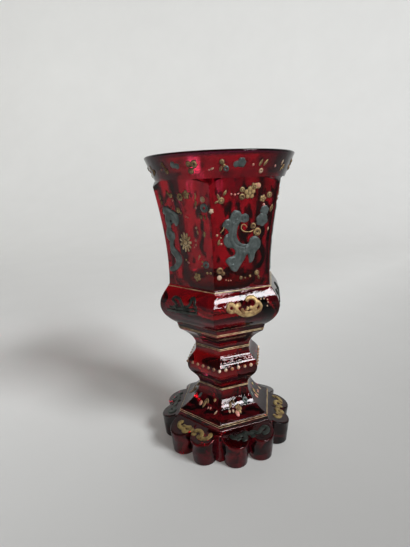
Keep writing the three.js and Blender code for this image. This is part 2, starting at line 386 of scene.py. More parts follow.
# An even fade from 0 at Start to 1 at End, in metres along the direction given by the first three values
def makeFade():
    inputs = {"Across": 0, "Forward": 0, "Upward": 0, "Start": 0, "End": 1}
    group, given, result = newGroup("fade", inputs, "Mask")
    nodes, links = group.nodes, group.links
    place = nodes.new("ShaderNodeTexCoord")
    direction = nodes.new("ShaderNodeCombineXYZ")
    along = nodes.new("ShaderNodeVectorMath")
    along.operation = "DOT_PRODUCT"
    level = nodes.new("ShaderNodeMapRange")
    for axis, label in (("X", "Across"), ("Y", "Forward"), ("Z", "Upward")):
        links.new(given.outputs[label], direction.inputs[axis])
    links.new(place.outputs["Object"], along.inputs[0])
    links.new(direction.outputs["Vector"], along.inputs[1])
    links.new(along.outputs["Value"], level.inputs["Value"])
    links.new(given.outputs["Start"], level.inputs["From Min"])
    links.new(given.outputs["End"], level.inputs["From Max"])
    links.new(level.outputs["Result"], result.inputs["Mask"])
    return group


patches = makePatches()
waves = makeWaves()
fade = makeFade()


def useGroup(nodes, group, **values):
    node = nodes.new("ShaderNodeGroup")
    node.node_tree = group
    for label, value in values.items():
        node.inputs[label].default_value = value
    return node


# Mixes two colours by a mask. The first may be another mix.
def mixColours(nodes, links, mask, first, second, target=None):
    mix = nodes.new("ShaderNodeMix")
    mix.data_type = "RGBA"
    if isinstance(first, tuple):
        mix.inputs["A"].default_value = (*first, 1)
    else:
        links.new(first, mix.inputs["A"])
    mix.inputs["B"].default_value = (*second, 1)
    links.new(mask, mix.inputs["Factor"])
    if target:
        links.new(mix.outputs["Result"], target)
    return mix.outputs["Result"]


def bumpFrom(nodes, links, height, depth, target):
    bump = nodes.new("ShaderNodeBump")
    bump.inputs["Distance"].default_value = depth * mm
    links.new(height, bump.inputs["Height"])
    links.new(bump.outputs["Normal"], target)
    return bump


def varyValue(nodes, links, mask, low, high, target):
    level = nodes.new("ShaderNodeMapRange")
    level.inputs["To Min"].default_value = low
    level.inputs["To Max"].default_value = high
    links.new(mask, level.inputs["Value"])
    links.new(level.outputs["Result"], target)


ruby = {
    "bowl": ((0.5, 0.0025, 0.014), (0.2, 0.002, 0.011)),     # where the stain is thin and where thick
    "inside": ((1, 0.95, 0.95), (0.86, 0.7, 0.74)),
    "stem": ((0.31, 0.003, 0.005), (0.145, 0.0015, 0.003)),
    "foot": ((0.12, 0.0015, 0.004), (0.068, 0.001, 0.003)),
    "stains": {"Scale": 45, "Cover": 0.5, "Softness": 0.14},
    "insideRoughness": 0.14,
    "bulge": (0.27, 0.002, 0.006),
    "bulgeFade": {"Upward": 1, "Start": 0.094, "End": 0.087},       # metres above the table
    # painted shade: the top of the lip is tinted almost black for the dark line along the rim
    "lip": (0.09, 0.003, 0.03),
    "lipFade": {"Upward": 1, "Start": 0.1478, "End": 0.149},
    "coneTop": (0.4, 0.003, 0.006),
    "coneTopFade": {"Upward": 1, "Start": 0.0215, "End": 0.029},
    "edgeOn": (0.02, 0.004, 0.01),
    "edgeOnFrom": 0.3,
    "edgeOnTo": 0.66,
    "leavingGain": 1.6,     # how much more a slant counts where light leaves the glass
    "ripples": {"Across": 200, "Upward": 26, "Detail": 1},
    "rippleDepth": 0.07,
    "strokes": {"Across": 1000, "Upward": 120, "Lean": 0.7, "Detail": 1},
    "strokeDepth": 0.025,
    "ior": 1.45,
}


# Ruby glass. Its stain lies unevenly, and its cut sides ripple a little under fine slanting strokes. The
# stain is deeper at the bulge, thinner at the top of the foot's cone, and almost missing on the inside of
# the bowl above the bulge. The lip is painted almost black, a painted shade for the dark line along the
# rim.
# Seen edge on, all of the glass is nearly black.
def makeRubyGlass(name, clear, deep, *zones, roughness=0):
    material, nodes, links = newMaterial(name)
    shader = nodes["Principled BSDF"]
    shader.inputs["Roughness"].default_value = roughness
    shader.inputs["IOR"].default_value = ruby["ior"]
    shader.inputs["Transmission Weight"].default_value = 1
    stains = useGroup(nodes, patches, **ruby["stains"])
    stained = mixColours(nodes, links, stains.outputs["Mask"], clear, deep)
    for zone in zones:
        near = useGroup(nodes, fade, **ruby[zone + "Fade"])
        stained = mixColours(nodes, links, near.outputs["Mask"], stained, ruby[zone])
    facing = nodes.new("ShaderNodeLayerWeight")
    facing.inputs["Blend"].default_value = 0.5
    side = nodes.new("ShaderNodeNewGeometry")
    gain = nodes.new("ShaderNodeMath")
    gain.operation = "MULTIPLY_ADD"
    gain.inputs[1].default_value = ruby["leavingGain"]
    gain.inputs[2].default_value = 1
    slant = nodes.new("ShaderNodeMath")
    slant.operation = "MULTIPLY"
    edgeOn = nodes.new("ShaderNodeMapRange")
    edgeOn.inputs["From Min"].default_value = ruby["edgeOnFrom"]
    edgeOn.inputs["From Max"].default_value = ruby["edgeOnTo"]
    links.new(side.outputs["Backfacing"], gain.inputs[0])
    links.new(facing.outputs["Facing"], slant.inputs[0])
    links.new(gain.outputs[0], slant.inputs[1])
    links.new(slant.outputs[0], edgeOn.inputs["Value"])
    mixColours(nodes, links, edgeOn.outputs["Result"], stained, ruby["edgeOn"], shader.inputs["Base Color"])
    ripples = useGroup(nodes, waves, **ruby["ripples"])
    strokes = useGroup(nodes, waves, **ruby["strokes"])
    cut = bumpFrom(nodes, links, strokes.outputs["Height"], ruby["strokeDepth"], shader.inputs["Normal"])
    bumpFrom(nodes, links, ripples.outputs["Height"], ruby["rippleDepth"], cut.inputs["Normal"])
    return material


# Where two pieces are fused, light goes straight through
def makeFusedSeam():
    material, nodes, links = newMaterial("fused_seam")
    clear = nodes.new("ShaderNodeBsdfTransparent")
    nodes.remove(nodes["Principled BSDF"])
    links.new(clear.outputs["BSDF"], nodes["Material Output"].inputs["Surface"])
    return material


gilding = {
    "worn": ((0.62, 0.45, 0.22), (0.27, 0.155, 0.075)),      # where it is fresh and where rubbed
    "dull": ((0.4, 0.29, 0.115), (0.15, 0.095, 0.04)),
    "bright": ((0.82, 0.64, 0.4), (0.42, 0.27, 0.13)),
    "metallic": 0.45,
    "wear": {"Scale": 420, "Cover": 0.47, "Softness": 0.1},
    "roughness": (0.42, 0.6),
    "grain": {"Across": 2600, "Upward": 2600, "Detail": 3},
    "grainDepth": 0.06,
}
silvering = {
    "tarnished": ((0.215, 0.245, 0.24), (0.11, 0.135, 0.13)),
    # a darker copy of the silver: partly real blackening, partly painted shade where the bulge and the
    # skirt mirror the dark room
    "tarnishAndShade": ((0.09, 0.098, 0.087), (0.025, 0.033, 0.027)),
    "metallic": 0.7,
    "wear": {"Scale": 330, "Cover": 0.5, "Softness": 0.14},
    "roughness": (0.34, 0.48),
    "grain": {"Across": 1900, "Upward": 1900, "Detail": 4},
    "grainDepth": 0.1,
}
enamels = {
    "cream": ((0.58, 0.43, 0.32), (0.4, 0.25, 0.13)),
    "pink": ((0.62, 0.27, 0.24), (0.5, 0.3, 0.16)),
    "brown": ((0.085, 0.045, 0.028), (0.04, 0.02, 0.016)),
    "bead": ((0.86, 0.7, 0.54), (0.5, 0.2, 0.08)),
    "dullBead": ((0.34, 0.2, 0.12), (0.2, 0.09, 0.05)),
    "metallic": 0,
    "wear": {"Scale": 520, "Cover": 0.46, "Softness": 0.1},
    "roughness": (0.3, 0.5),
    "grain": {"Across": 1200, "Upward": 1200, "Detail": 2},
    "grainDepth": 0.05,
}


# Paste fired onto the glass: a colour that is worn through in patches, over a fine grain
def makePaste(name, finish, tone):
    material, nodes, links = newMaterial(name)
    shader = nodes["Principled BSDF"]
    shader.inputs["Metallic"].default_value = finish["metallic"]
    wear = useGroup(nodes, patches, **finish["wear"]).outputs["Mask"]
    mixColours(nodes, links, wear, *finish[tone], shader.inputs["Base Color"])
    varyValue(nodes, links, wear, *finish["roughness"], shader.inputs["Roughness"])
    grain = useGroup(nodes, waves, **finish["grain"])
    bumpFrom(nodes, links, grain.outputs["Height"], finish["grainDepth"], shader.inputs["Normal"])
    return material


bowlGlass = makeRubyGlass("ruby_glass_bowl", *ruby["bowl"], "bulge", "lip")
insideGlass = makeRubyGlass("ruby_glass_bowl_inside", *ruby["inside"], "bulge", "lip",
                            roughness=ruby["insideRoughness"])
stemGlass = makeRubyGlass("ruby_glass_stem", *ruby["stem"])
footGlass = makeRubyGlass("ruby_glass_foot", *ruby["foot"], "coneTop")
fusedSeam = makeFusedSeam()
wornGold = makePaste("worn_gold", gilding, "worn")
dullGold = makePaste("dull_gold", gilding, "dull")
brightGold = makePaste("bright_gold", gilding, "bright")
tarnishedSilver = makePaste("tarnished_silver", silvering, "tarnished")
tarnishAndShadeSilver = makePaste("tarnish_and_shade_silver", silvering, "tarnishAndShade")
creamEnamel = makePaste("cream_enamel", enamels, "cream")
pinkEnamel = makePaste("pink_enamel", enamels, "pink")
brownOutline = makePaste("brown_outline", enamels, "brown")
beadEnamel = makePaste("bead_enamel", enamels, "bead")
dullBeadEnamel = makePaste("dull_bead_enamel", enamels, "dullBead")
print("materials made")

# Stem: the knop and the collar

stem = {
    "edge": 0.4,         # radius of the cut edges between the sides
    "crease": 0.3,       # radius of the creases round the piece
    "sideSteps": 6,
}


def makeStemPiece(name, line, caps, node):
    rings = [hexRing(r, z, evenShares(stem["sideSteps"]), stem["edge"])
             for r, z in polished(line, stem["crease"])]
    return dress(smoothGlass(meshOfRings(name, rings, *caps)), (stemGlass, fusedSeam), "ruby_glass", node)


makeStemPiece("knop_glass", lines["knop"], ("seam", "seam"), "knop")
makeStemPiece("collar_glass", lines["collar"], ("seam", "seam"), "collar")
print("stem made")

# Bowl: six panels cut from a round blank, under a round rim band

bowl = {
    "bandFoot": 31.8,
    "bandFootHeight": 138.8,
    "rimRadius": 36.35,
    "rimHeight": 150.0,
    "rimWall": 2.6,
    "lip": 0.9,              # radius of its rounding
    "panelWall": 2.2,
    "floorHeight": 79.9,
    "floorTurn": 14.0,       # how far above the floor the wall starts to turn in
    "edge": 0.45,
    "crease": 1.2,
    "sideSteps": 22,
    "panelRows": 18,
    "bandRows": (0.04, 0.3, 0.65, 1),      # shares of the way up the band
    "lipSteps": 6,
    "flareRows": (0.35, 0.7, 0.92),        # shares of the way down its inside
    "wallRows": 16,
    "floorRows": 14,
}


# Where a column of a panel runs out: at the bevel that turns the corner in to the band, or at its foot
def panelTop(flatAt, reachShare):
    fall = (bowl["bandFootHeight"] - levels["shoulder"][1]) / (levels["shoulder"][0] - bowl["bandFoot"])
    low, high = levels["crease"][1], bowl["bandFootHeight"]
    for halving in range(40):
        z = (low + high) / 2
        if flatAt(z) * reachShare < bowl["bandFoot"] + (bowl["bandFootHeight"] - z) / fall:
            low = z
        else:
            high = z
    return low


def heightLookup(line):
    def widthAt(z):
        for (r0, z0), (r1, z1) in zip(line, line[1:]):
            if z <= z1:
                return r0 + (r1 - r0) * (z - z0) / (z1 - z0)
        return line[-1][0]
    return widthAt


def makeBowlGlass():
    shares = evenShares(bowl["sideSteps"])
    shoulderFlat, shoulderZ = lines["panel"][-1]
    slope = turns["panelFlare"] * cornerToFlat / ((shoulderZ - levels["crease"][1]) / 3)
    top = (shoulderFlat + slope * (bowl["bandFootHeight"] - shoulderZ), bowl["bandFootHeight"])
    flatAt = heightLookup(lines["panel"] + [top])
    belly = polished(lines["bulge"] + lines["panel"][1:3], bowl["crease"])
    bellyTop = lines["panel"][1][1] + 0.01       # a hair above the first point of the panel
    rings = [hexRing(r, z, shares, bowl["edge"]) for r, z in belly if z <= bellyTop]

    # The panels, column by column, up to their arched tops
    panelFoot = rings[-1][0][2]
    units = hexUnits(shares)
    reach = [(byWidth + byEdge * bowl["edge"] / shoulderFlat).length for byWidth, byEdge in units]
    tops = [panelTop(flatAt, r) for r in reach]
    for row in range(1, bowl["panelRows"] + 1):
        ring = []
        for (byWidth, byEdge), topZ in zip(units, tops):
            z = panelFoot + (topZ - panelFoot) * row / bowl["panelRows"]
            p = byWidth * flatAt(z) + byEdge * bowl["edge"]
            ring.append((p.x, p.y, z))
        rings.append(ring)

    # The band, the lip and the hollow are round
    lip, lipFoot = bowl["lip"], bowl["rimHeight"] - bowl["lip"]
    outer, inner = bowl["rimRadius"], bowl["rimRadius"] - bowl["rimWall"]
    band = [(bowl["bandFoot"], bowl["bandFootHeight"])]
    band += [between(band[0], (outer, lipFoot), share) for share in bowl["bandRows"]]
    for turn in quarterTurns(bowl["lipSteps"])[1:]:
        band.append((outer - lip + lip * math.cos(turn), lipFoot + lip * math.sin(turn)))
    for turn in quarterTurns(bowl["lipSteps"]):
        band.append((inner + lip - lip * math.sin(turn), lipFoot + lip * math.cos(turn)))
    insideFrom = (len(rings) + len(band) - 1) * len(units)
    wallTop = (flatAt(bowl["bandFootHeight"]) - bowl["panelWall"], bowl["bandFootHeight"])
    band += [between((inner, lipFoot), wallTop, share) for share in bowl["flareRows"]]
    drop = bowl["floorHeight"] + bowl["floorTurn"] - bowl["bandFootHeight"]
    for i in range(bowl["wallRows"] + 1):
        z = bowl["bandFootHeight"] + drop * i / bowl["wallRows"]
        band.append((flatAt(z) - bowl["panelWall"], z))
    wallFoot = band[-1]
    corner = (wallFoot[0], bowl["floorHeight"])
    band += bend(wallFoot, corner, (0, bowl["floorHeight"]), turns["soft"], bowl["floorRows"])[1:-1]
    angles = anglesFrom(rings[-1][0], len(units))
    rings += [roundRing(angles, r, z) for r, z in band]
    piece = meshOfRings("bowl_glass", rings, "seam", "point")
    for face in piece.data.polygons[insideFrom:]:
        if face.material_index == 0:
            face.material_index = insideSlot
    return piece


dress(smoothGlass(makeBowlGlass()), (bowlGlass, fusedSeam, insideGlass), "ruby_glass", "bowl")
print("bowl made")

# Foot: a hexagonal cone on a skirt of twelve lobes, with a ground hollow underneath

foot = {
    "lobeTurn": 14.0,       # degrees each way from the middle of a side
    "lobeTipAtTable": 34.6,
    "lobeTipAtTop": 36.2,
    "lobeHalfWidth": 5.9,
    "skirtFall": 0.3,       # for each millimetre outward
    "notchCorner": 30.2,    # from the axis to the notch at a corner
    "pontilRadius": 11.0,
    "pontilDepth": 1.2,
    "pontilRows": 8,
    "edge": 0.4,
    "crease": 0.8,
    "skirtRounding": 0.7,
    "skirtRows": 5,
    "tableRounding": 0.5,
    "tableRows": 4,
    "arcSteps": 14,
    "wallRows": (2.5, 5.0, 7.5),
    "edgeOutline": 12.0,    # the height whose outline the skirt's edge follows
}
skirtTop = levels["footEdge"][1]
skirtFoot = levels["footEdge"][0] * cornerToFlat


def skirtHeight(out):
    return skirtTop - (out - skirtFoot) * foot["skirtFall"]


# Half the outline of a side at one height, from its middle to its corner, drawn in by some inset
def halfOutline(z, inset):
    centreReach = foot["lobeTipAtTable"] - foot["lobeHalfWidth"]
    turn = math.radians(foot["lobeTurn"])
    cx, cy = centreReach * math.cos(turn), centreReach * math.sin(turn)
    share = z / skirtTop
    radius = foot["lobeHalfWidth"] * (1 - share) + (foot["lobeTipAtTop"] - centreReach) * share - inset
    flat = foot["notchCorner"] * cornerToFlat - inset
    reach = math.sqrt(radius ** 2 - (cx - flat) ** 2)
    half = (flat - foot["edge"]) * math.tan(sideTurn / 2)
    if cy - reach > 0:
        middle = (flat, 0)
        start = math.atan2(-reach, flat - cx)
    else:
        across = math.sqrt(max(radius ** 2 - cy ** 2, 0.01))
        middle = (cx + across, 0)
        start = math.atan2(-cy, across)
    end = math.atan2(reach, flat - cx)
    points = [middle]
    steps = foot["arcSteps"]
    for i in range(steps + 1):
        angle = start + (end - start) * i / steps
        points.append((cx + radius * math.cos(angle), cy + radius * math.sin(angle)))
    return points + [between(points[-1], (flat, half), 0.5), (flat, half)], flat


# One outline of the foot, level at z or, where a drop is given, that far below the slope of the skirt
def footRing(z, inset, drop=None):
    points, flat = halfOutline(z, inset)
    whole = [(x, -y) for x, y in reversed(points[1:])] + points
    spots = []
    for side in range(sides):
        out, along = sideDirections(side)
        spots += [(out * x + along * y, x) for x, y in whole]
        centre = out * (flat - foot["edge"]) + along * points[-1][1]
        for i in range(1, polish["edgeSteps"]):
            angle = (side + 0.5) * sideTurn + sideTurn * i / polish["edgeSteps"]
            spots.append((centre + outward(angle) * foot["edge"], flat))
    return [(p.x, p.y, z if drop is None else skirtHeight(x) - drop) for p, x in spots]


def makeFootGlass():
    halfCount = len(halfOutline(0, 0)[0])
    halfShares = [i / (halfCount - 1) for i in range(halfCount)]
    shares = [-s for s in reversed(halfShares[1:])] + halfShares
    first = hexRing(1, 0, shares, 0.01)[0]       # of a section whose edges are almost sharp
    angles = anglesFrom(first, len(footRing(0, 0)))
    dome = bend((foot["pontilRadius"], 0), (foot["pontilRadius"] / 2, foot["pontilDepth"]),
                (0, foot["pontilDepth"]), turns["soft"], foot["pontilRows"])
    rings = [roundRing(angles, r, z) for r, z in reversed(dome[:-1])]
    small, large = foot["tableRounding"], foot["skirtRounding"]
    rings.append(footRing(0, small))
    for turn in quarterTurns(foot["tableRows"])[1:]:
        rings.append(footRing(small * (1 - math.cos(turn)), small * (1 - math.sin(turn))))
    rings += [footRing(z, 0) for z in foot["wallRows"]]
    for turn in quarterTurns(foot["skirtRows"]):
        inset, drop = large * (1 - math.cos(turn)), large * (1 - math.sin(turn))
        rings.append(footRing(foot["edgeOutline"], inset, drop))
    coneStart = skirtFoot + 1         # on the skirt, a little way out from the cone
    cone = polished([(coneStart, skirtHeight(coneStart))] + lines["foot"], foot["crease"])
    rings += [hexRing(r, z, shares, foot["edge"]) for r, z in cone]
    return meshOfRings("foot_glass", rings, "point", "seam")


dress(smoothGlass(makeFootGlass()), (footGlass, fusedSeam), "ruby_glass", "foot")
print("foot made")

# Grounds: how across, rise and lift, in millimetres, become a place on the surface of the glass.
# A profile gives the point of the outer line at a height, and its outward normal.


def lineProfile(line):
    widthAt = heightLookup(line)
    span = 0.4          # how far up and down the slope is taken

    def profile(z):
        slope = (widthAt(z + span) - widthAt(z - span)) / (2 * span)
        return Vector((widthAt(z), z)), Vector((1, -slope)).normalized()
    return profile


def flatGround(side, profile):
    out, along = sideDirections(side)

    def place(across, rise, lift):
        point, normal = profile(rise)
        spot = point + normal * lift
        flat = out * spot.x + along * across
        return flat.x, flat.y, spot.y
    return place


def roundGround(degrees, profile):
    def place(across, rise, lift):
        point, normal = profile(rise)
        spot = point + normal * lift
        angle = math.radians(degrees) + across / spot.x
        return math.sin(angle) * spot.x, -math.cos(angle) * spot.x, spot.y
    return place


# Over a corner, the two sides fold down from it and the lift follows the corner
def cornerGround(corner, profile):
    cornerOut = outward(corner * sideTurn)

    def place(across, rise, lift):
        point, normal = profile(rise)
        out, along = sideDirections(corner if across > 0 else corner - 1)
        half = point.x * math.tan(sideTurn / 2)
        inSide = across - half if across > 0 else across + half
        flat = out * point.x + along * inSide + cornerOut * normal.x * lift
        return flat.x, flat.y, point.y + normal.y * lift
    return place


def skirtProfile(out):
    return Vector((out, skirtHeight(out))), Vector((foot["skirtFall"], 1)).normalized()


# The same ground, with its places counted from another spot
def shifted(ground, across=0, rise=0, lift=0):
    def place(x, y, height):
        return ground(across + x, rise + y, lift + height)
    return place


outerLine = lines["foot"][:1]
for name in ("foot", "knop", "collar", "bulge", "panel"):
    outerLine += lines[name][1:]
goblet = lineProfile(outerLine)
rimBand = lineProfile([(bowl["bandFoot"], bowl["bandFootHeight"]),
                       (bowl["rimRadius"], bowl["rimHeight"] - bowl["lip"])])

# Raised paste

paste = {
    "seat": 0.03,           # air between glass and paste
    "edge": 0.08,           # height of a piece's upright edge
    "scroll": 0.2,
    "roundOff": 0.4,        # how far in from its edge a scroll has risen to its full height
    "scrollStep": 0.5,
    "ridgeStep": 0.4,
    "holePoints": 10,
    "floretStep": 0.42,
    "leafStep": 0.35,
    "eyePoints": 8,
    "rowSpacing": 0.87,     # of the points inside a piece, in steps
    "clearOfRim": 0.45,     # how far they keep from its rim, in steps
    "ribbon": 0.36,
    "ribbonStep": 0.35,
    "ribbonRows": (-1, -0.94, -0.7, -0.36, 0, 0.36, 0.7, 0.94, 1),
    "ribbonEnd": 0.15,      # how blunt its ends are
    "curl": (0.24, 0.14),   # half width and height of the thin curls
}


# A smooth line through chosen points, in short even steps
def smoothLine(points, step, closed=False):
    count = len(points)
    spots = [Vector(p) for p in points]
    made = []
    for i in range(count if closed else count - 1):
        reach = [i + k for k in (-1, 0, 1, 2)]
        a, b, c, d = (spots[k % count] if closed else spots[min(max(k, 0), count - 1)] for k in reach)
        pieces = max(1, round((c - b).length / step))
        for n in range(pieces):
            t = n / pieces
            made.append(0.5 * (2 * b + (c - a) * t + (2 * a - 5 * b + 4 * c - d) * t ** 2
                               + (3 * b - a - 3 * c + d) * t ** 3))
    return made if closed else made + [spots[-1]]


def ringOf(centre, radius, count):
    return [Vector(centre) + onCircle(math.tau * i / count) * radius for i in range(count)]


# From each point to the nearest of some stretches
def distances(points, starts, ends):
    p = np.array([tuple(v) for v in points])[:, None]
    a = np.array([tuple(v) for v in starts])
    b = np.array([tuple(v) for v in ends])
    share = ((p - a) * (b - a)).sum(-1) / np.maximum(((b - a) ** 2).sum(-1), 1e-9)
    near = a + (b - a) * np.clip(share, 0, 1)[..., None]
    return np.linalg.norm(p - near, axis=-1).min(1)


def insideLoops(p, loops):
    odd = False
    for loop in loops:
        for a, b in zip(loop, loop[1:] + loop[:1]):
            if (a.y > p.y) != (b.y > p.y) and p.x < a.x + (b.x - a.x) * (p.y - a.y) / (b.y - a.y):
                odd = not odd
    return odd


# Adds one closed piece to a mesh: loops give its outline and holes, ridges are (line, half width, rise)
def raisePiece(bm, loops, ridges, thickness, roundOff, step, ground):
    rim = [p for loop in loops for p in loop]
    nextOf = [p for loop in loops for p in loop[1:] + loop[:1]]
    low = Vector((min(p.x for p in rim), min(p.y for p in rim)))
    high = Vector((max(p.x for p in rim), max(p.y for p in rim)))
    grid = []
    rowStep = step * paste["rowSpacing"]
    for row in range(int((high.y - low.y) / rowStep) + 1):
        for column in range(int((high.x - low.x) / step) + 2):
            x = low.x + step * (column - 0.5 * (row % 2))
            grid.append(Vector((x, low.y + rowStep * (row + 0.5))))
    clear = distances(grid, rim, nextOf) if grid else []
    least = step * paste["clearOfRim"]
    points = rim + [p for p, d in zip(grid, clear) if d > least and insideLoops(p, loops)]
    edges, start = [], 0
    for loop in loops:
        edges += [(start + i, start + (i + 1) % len(loop)) for i in range(len(loop))]
        start += len(loop)
    spots, _, triangles, *_ = delaunay_2d_cdt(points, edges, [], 1, 1e-6)
    triangles = [t for t in triangles if insideLoops(sum((spots[i] for i in t), Vector((0, 0))) / 3, loops)]
    fromRim = distances(spots, rim, nextOf)
    heights = thickness * np.sin(math.pi / 2 * np.clip(fromRim / roundOff, 0, 1))
    for line, width, rise in ridges:
        near = distances(spots, line[:-1], line[1:]) if len(line) > 1 else distances(spots, line, line)
        swelling = np.cos(math.pi / 2 * np.clip(near / width, 0, 1)) ** 2
        heights += rise * swelling * np.clip(fromRim / roundOff, 0, 1)
    heights = paste["seat"] + paste["edge"] + np.maximum(heights, 0)
    top = [bm.verts.new(Vector(ground(p.x, p.y, h)) * mm) for p, h in zip(spots, heights)]
    under = [bm.verts.new(Vector(ground(p.x, p.y, paste["seat"])) * mm) for p in spots]
    used = {}
    for t in triangles:
        bm.faces.new([top[i] for i in t]).smooth = True
        bm.faces.new([under[i] for i in reversed(t)])
        for a, b in zip(t, t[1:] + t[:1]):
            used[(a, b)] = True
    for a, b in used:
        if (b, a) not in used:
            bm.faces.new((top[b], top[a], under[a], under[b]))
    loose = [v for v in top + under if not v.link_faces]
    bmesh.ops.delete(bm, geom=loose, context="VERTS")


# Adds one brushed ribbon along a line, half round across and tapering at its ends. A line that ends where
# it starts is a closed curl.
def drawRibbon(bm, points, halfWidth, height, ground):
    closed = points[0] == points[-1]
    line = smoothLine(points[:-1] if closed else points, paste["ribbonStep"], closed)
    rows = paste["ribbonRows"]
    travelled = [0]
    for a, b in zip(line, line[1:]):
        travelled.append(travelled[-1] + (b - a).length)
    loops = []
    for i, here in enumerate(line):
        before = line[i - 1] if i or closed else here
        after = line[(i + 1) % len(line)] if i + 1 < len(line) or closed else here
        along = (after - before).normalized()
        across = Vector((-along.y, along.x)) * halfWidth
        share = 1
        if not closed:
            toEnd = min(travelled[i], travelled[-1] - travelled[i]) / halfWidth + paste["ribbonEnd"]
            share = math.sqrt(1 - (1 - min(toEnd, 1)) ** 2)
        loop = []
        for row in rows:
            spot = here + across * row * share
            raised = 0 if abs(row) == 1 else paste["edge"] + height * share * math.sqrt(1 - row * row)
            loop.append(bm.verts.new(Vector(ground(spot.x, spot.y, paste["seat"] + raised)) * mm))
        loops.append(loop)
    made = []
    for here, there in zip(loops, loops[1:] + loops[:1] if closed else loops[1:]):
        for a in range(len(rows)):
            b = (a + 1) % len(rows)
            made.append(bm.faces.new((here[a], there[a], there[b], here[b])))
            made[-1].smooth = b > 0
    if not closed:
        made += [bm.faces.new(loops[0]), bm.faces.new(loops[-1])]
    bmesh.ops.recalc_face_normals(bm, faces=made)


def pieceOf(name, bm, material, slotName, *nodes):
    return dress(objectOf(name, bm), (material,), slotName, *nodes)


# Scrolls. Outlines, ridges and ribbons are across the side from its middle and up from a base line:
# the crease on a panel, the belly on the swelling, and out from the axis on the skirt.

panelScrolls = (
    {
        "outline": (
            (-6, 35), (-4.5, 36.3), (-2, 35.6), (-0.9, 34.2), (0.6, 34.6), (2.4, 33.4), (2.4, 31.2),
            (0.4, 30.4), (-1.6, 30.8), (-2.7, 28.6), (-3.1, 25), (-2, 22.4), (0.3, 20.5), (2.6, 20.8),
            (3.8, 23.3), (6.4, 24), (9, 21.6), (8.9, 18.6), (6.6, 16), (6, 13.6), (4.9, 11.8), (3.5, 11.6),
            (3, 14.2), (2.3, 15.8), (0.9, 13.4), (-1.4, 10.2), (-3.2, 8), (-5.2, 8.7), (-7.2, 11.6),
            (-8.5, 13.4), (-7.2, 15), (-4.4, 15.8), (-3.6, 17.4), (-4.8, 19), (-7.4, 19.6), (-9.2, 21.4),
            (-9.5, 23.6), (-8.6, 25.4), (-7.1, 26.4), (-8, 28), (-10, 29.2), (-9.9, 31), (-8.6, 32.4),
            (-6.9, 32.8),
        ),
        "ridges": (
            (((-2.2, 32.6), (-0.7, 31.6)), 0.5, -0.2),
            (((-8.8, 26.2), (-7.2, 25), (-7.6, 23.2)), 0.5, -0.2),
        ),
        "ribbons": (
            (0.8, ((-5.2, 34.2), (-3.6, 35), (-2, 33.9), (-2.4, 32.1), (-4.3, 31.8))),
            (0.55, ((1.5, 32.5), (0.4, 33.5), (-0.6, 32.5), (0.4, 31.5), (1.5, 32.5))),
            (0.8, ((-9, 30.4), (-8.5, 31.6), (-6.9, 31.5), (-6.9, 30), (-8.4, 29.4))),
            (0.95, ((-5.1, 31.2), (-5, 28.5), (-5.6, 25.9), (-5.7, 23.1), (-4.4, 20.7), (-1.7, 19.1),
                    (1.2, 18.5))),
            (0.8, ((-3.9, 30.4), (-4, 27), (-4.2, 24.2), (-3, 21.8), (-0.6, 20.2), (2, 19.8))),
            (0.9, ((1.2, 18.5), (3.7, 19.8), (4.8, 22.1), (6.7, 22.7), (8.1, 21.2), (8, 18.9),
                   (6.7, 17.7))),
            (0.6, ((2.9, 16.9), (3.9, 14.6), (4.2, 12.6))),
            (0.6, ((5.9, 16.4), (5.2, 14.4), (5, 12.8))),
            (0.95, ((-1.8, 18.6), (-1.6, 15.4), (-2.1, 12.1), (-3.7, 9.4))),
            (0.8, ((0.6, 17.6), (0.5, 15), (-0.6, 12.6))),
            (0.85, ((-3.4, 14.6), (-5.4, 14.2), (-6.9, 12.9), (-5.7, 11.3), (-4.2, 11.6))),
            (0.8, ((-7.6, 21.6), (-8.4, 23.6), (-7.4, 24.9))),
        ),
    },
    {
        "outline": (
            (-12.5, 38), (-10, 38.4), (-8, 37), (-5.8, 36.4), (-4, 34.8), (-3.6, 32), (-4.9, 29.6),
            (-6.2, 29.1), (-7.3, 30.5), (-9, 29.9), (-9.4, 27.6), (-7.7, 25.6), (-7.7, 23.4), (-9, 21.6),
            (-9.3, 19.4), (-8, 17.9), (-5.8, 16.2), (-4.5, 13.2), (-5.6, 10.4), (-8.4, 7.6), (-12, 6.4),
            (-13.5, 7.3), (-12.8, 8.8), (-10.6, 9.6), (-9, 11.4), (-9.3, 13.6), (-11.4, 16), (-11.9, 18.6),
            (-11.2, 21.2), (-12.8, 22.8), (-13.4, 25), (-12.4, 28), (-11.6, 31), (-12.2, 34.2),
            (-13, 36.3),
        ),
        "holes": (((-8.9, 31.6), 0.6),),
        "ridges": (
            (((-10.6, 22.7), (-9.2, 22.9), (-8.2, 21.9)), 0.5, -0.2),
            (((-9.6, 28.4), (-10.6, 27.4)), 0.5, -0.2),
        ),
        "ribbons": (
            (0.9, ((-12.3, 34.6), (-12, 36.4), (-10.4, 37.3), (-7.4, 36), (-5.2, 34.9), (-4.6, 32.4),
                   (-5.6, 30.4))),
            (0.9, ((-11, 34.6), (-11.5, 31.5), (-11, 28.1), (-12.2, 25.2), (-10.4, 23.4), (-8.6, 24.5),
                   (-8.9, 26.6))),
            (0.8, ((-9.4, 35.2), (-7.2, 34.4), (-6.2, 32.6), (-7.2, 31.6))),
            (0.95, ((-10.8, 21.4), (-10.6, 18.9), (-9, 16.8), (-6.6, 14.9), (-5.9, 12.8), (-7, 10.2),
                    (-9.4, 8.3), (-12, 7.6))),
            (0.7, ((-9.6, 19.8), (-9.2, 18.4), (-7.2, 16.8))),
        ),
    },
)
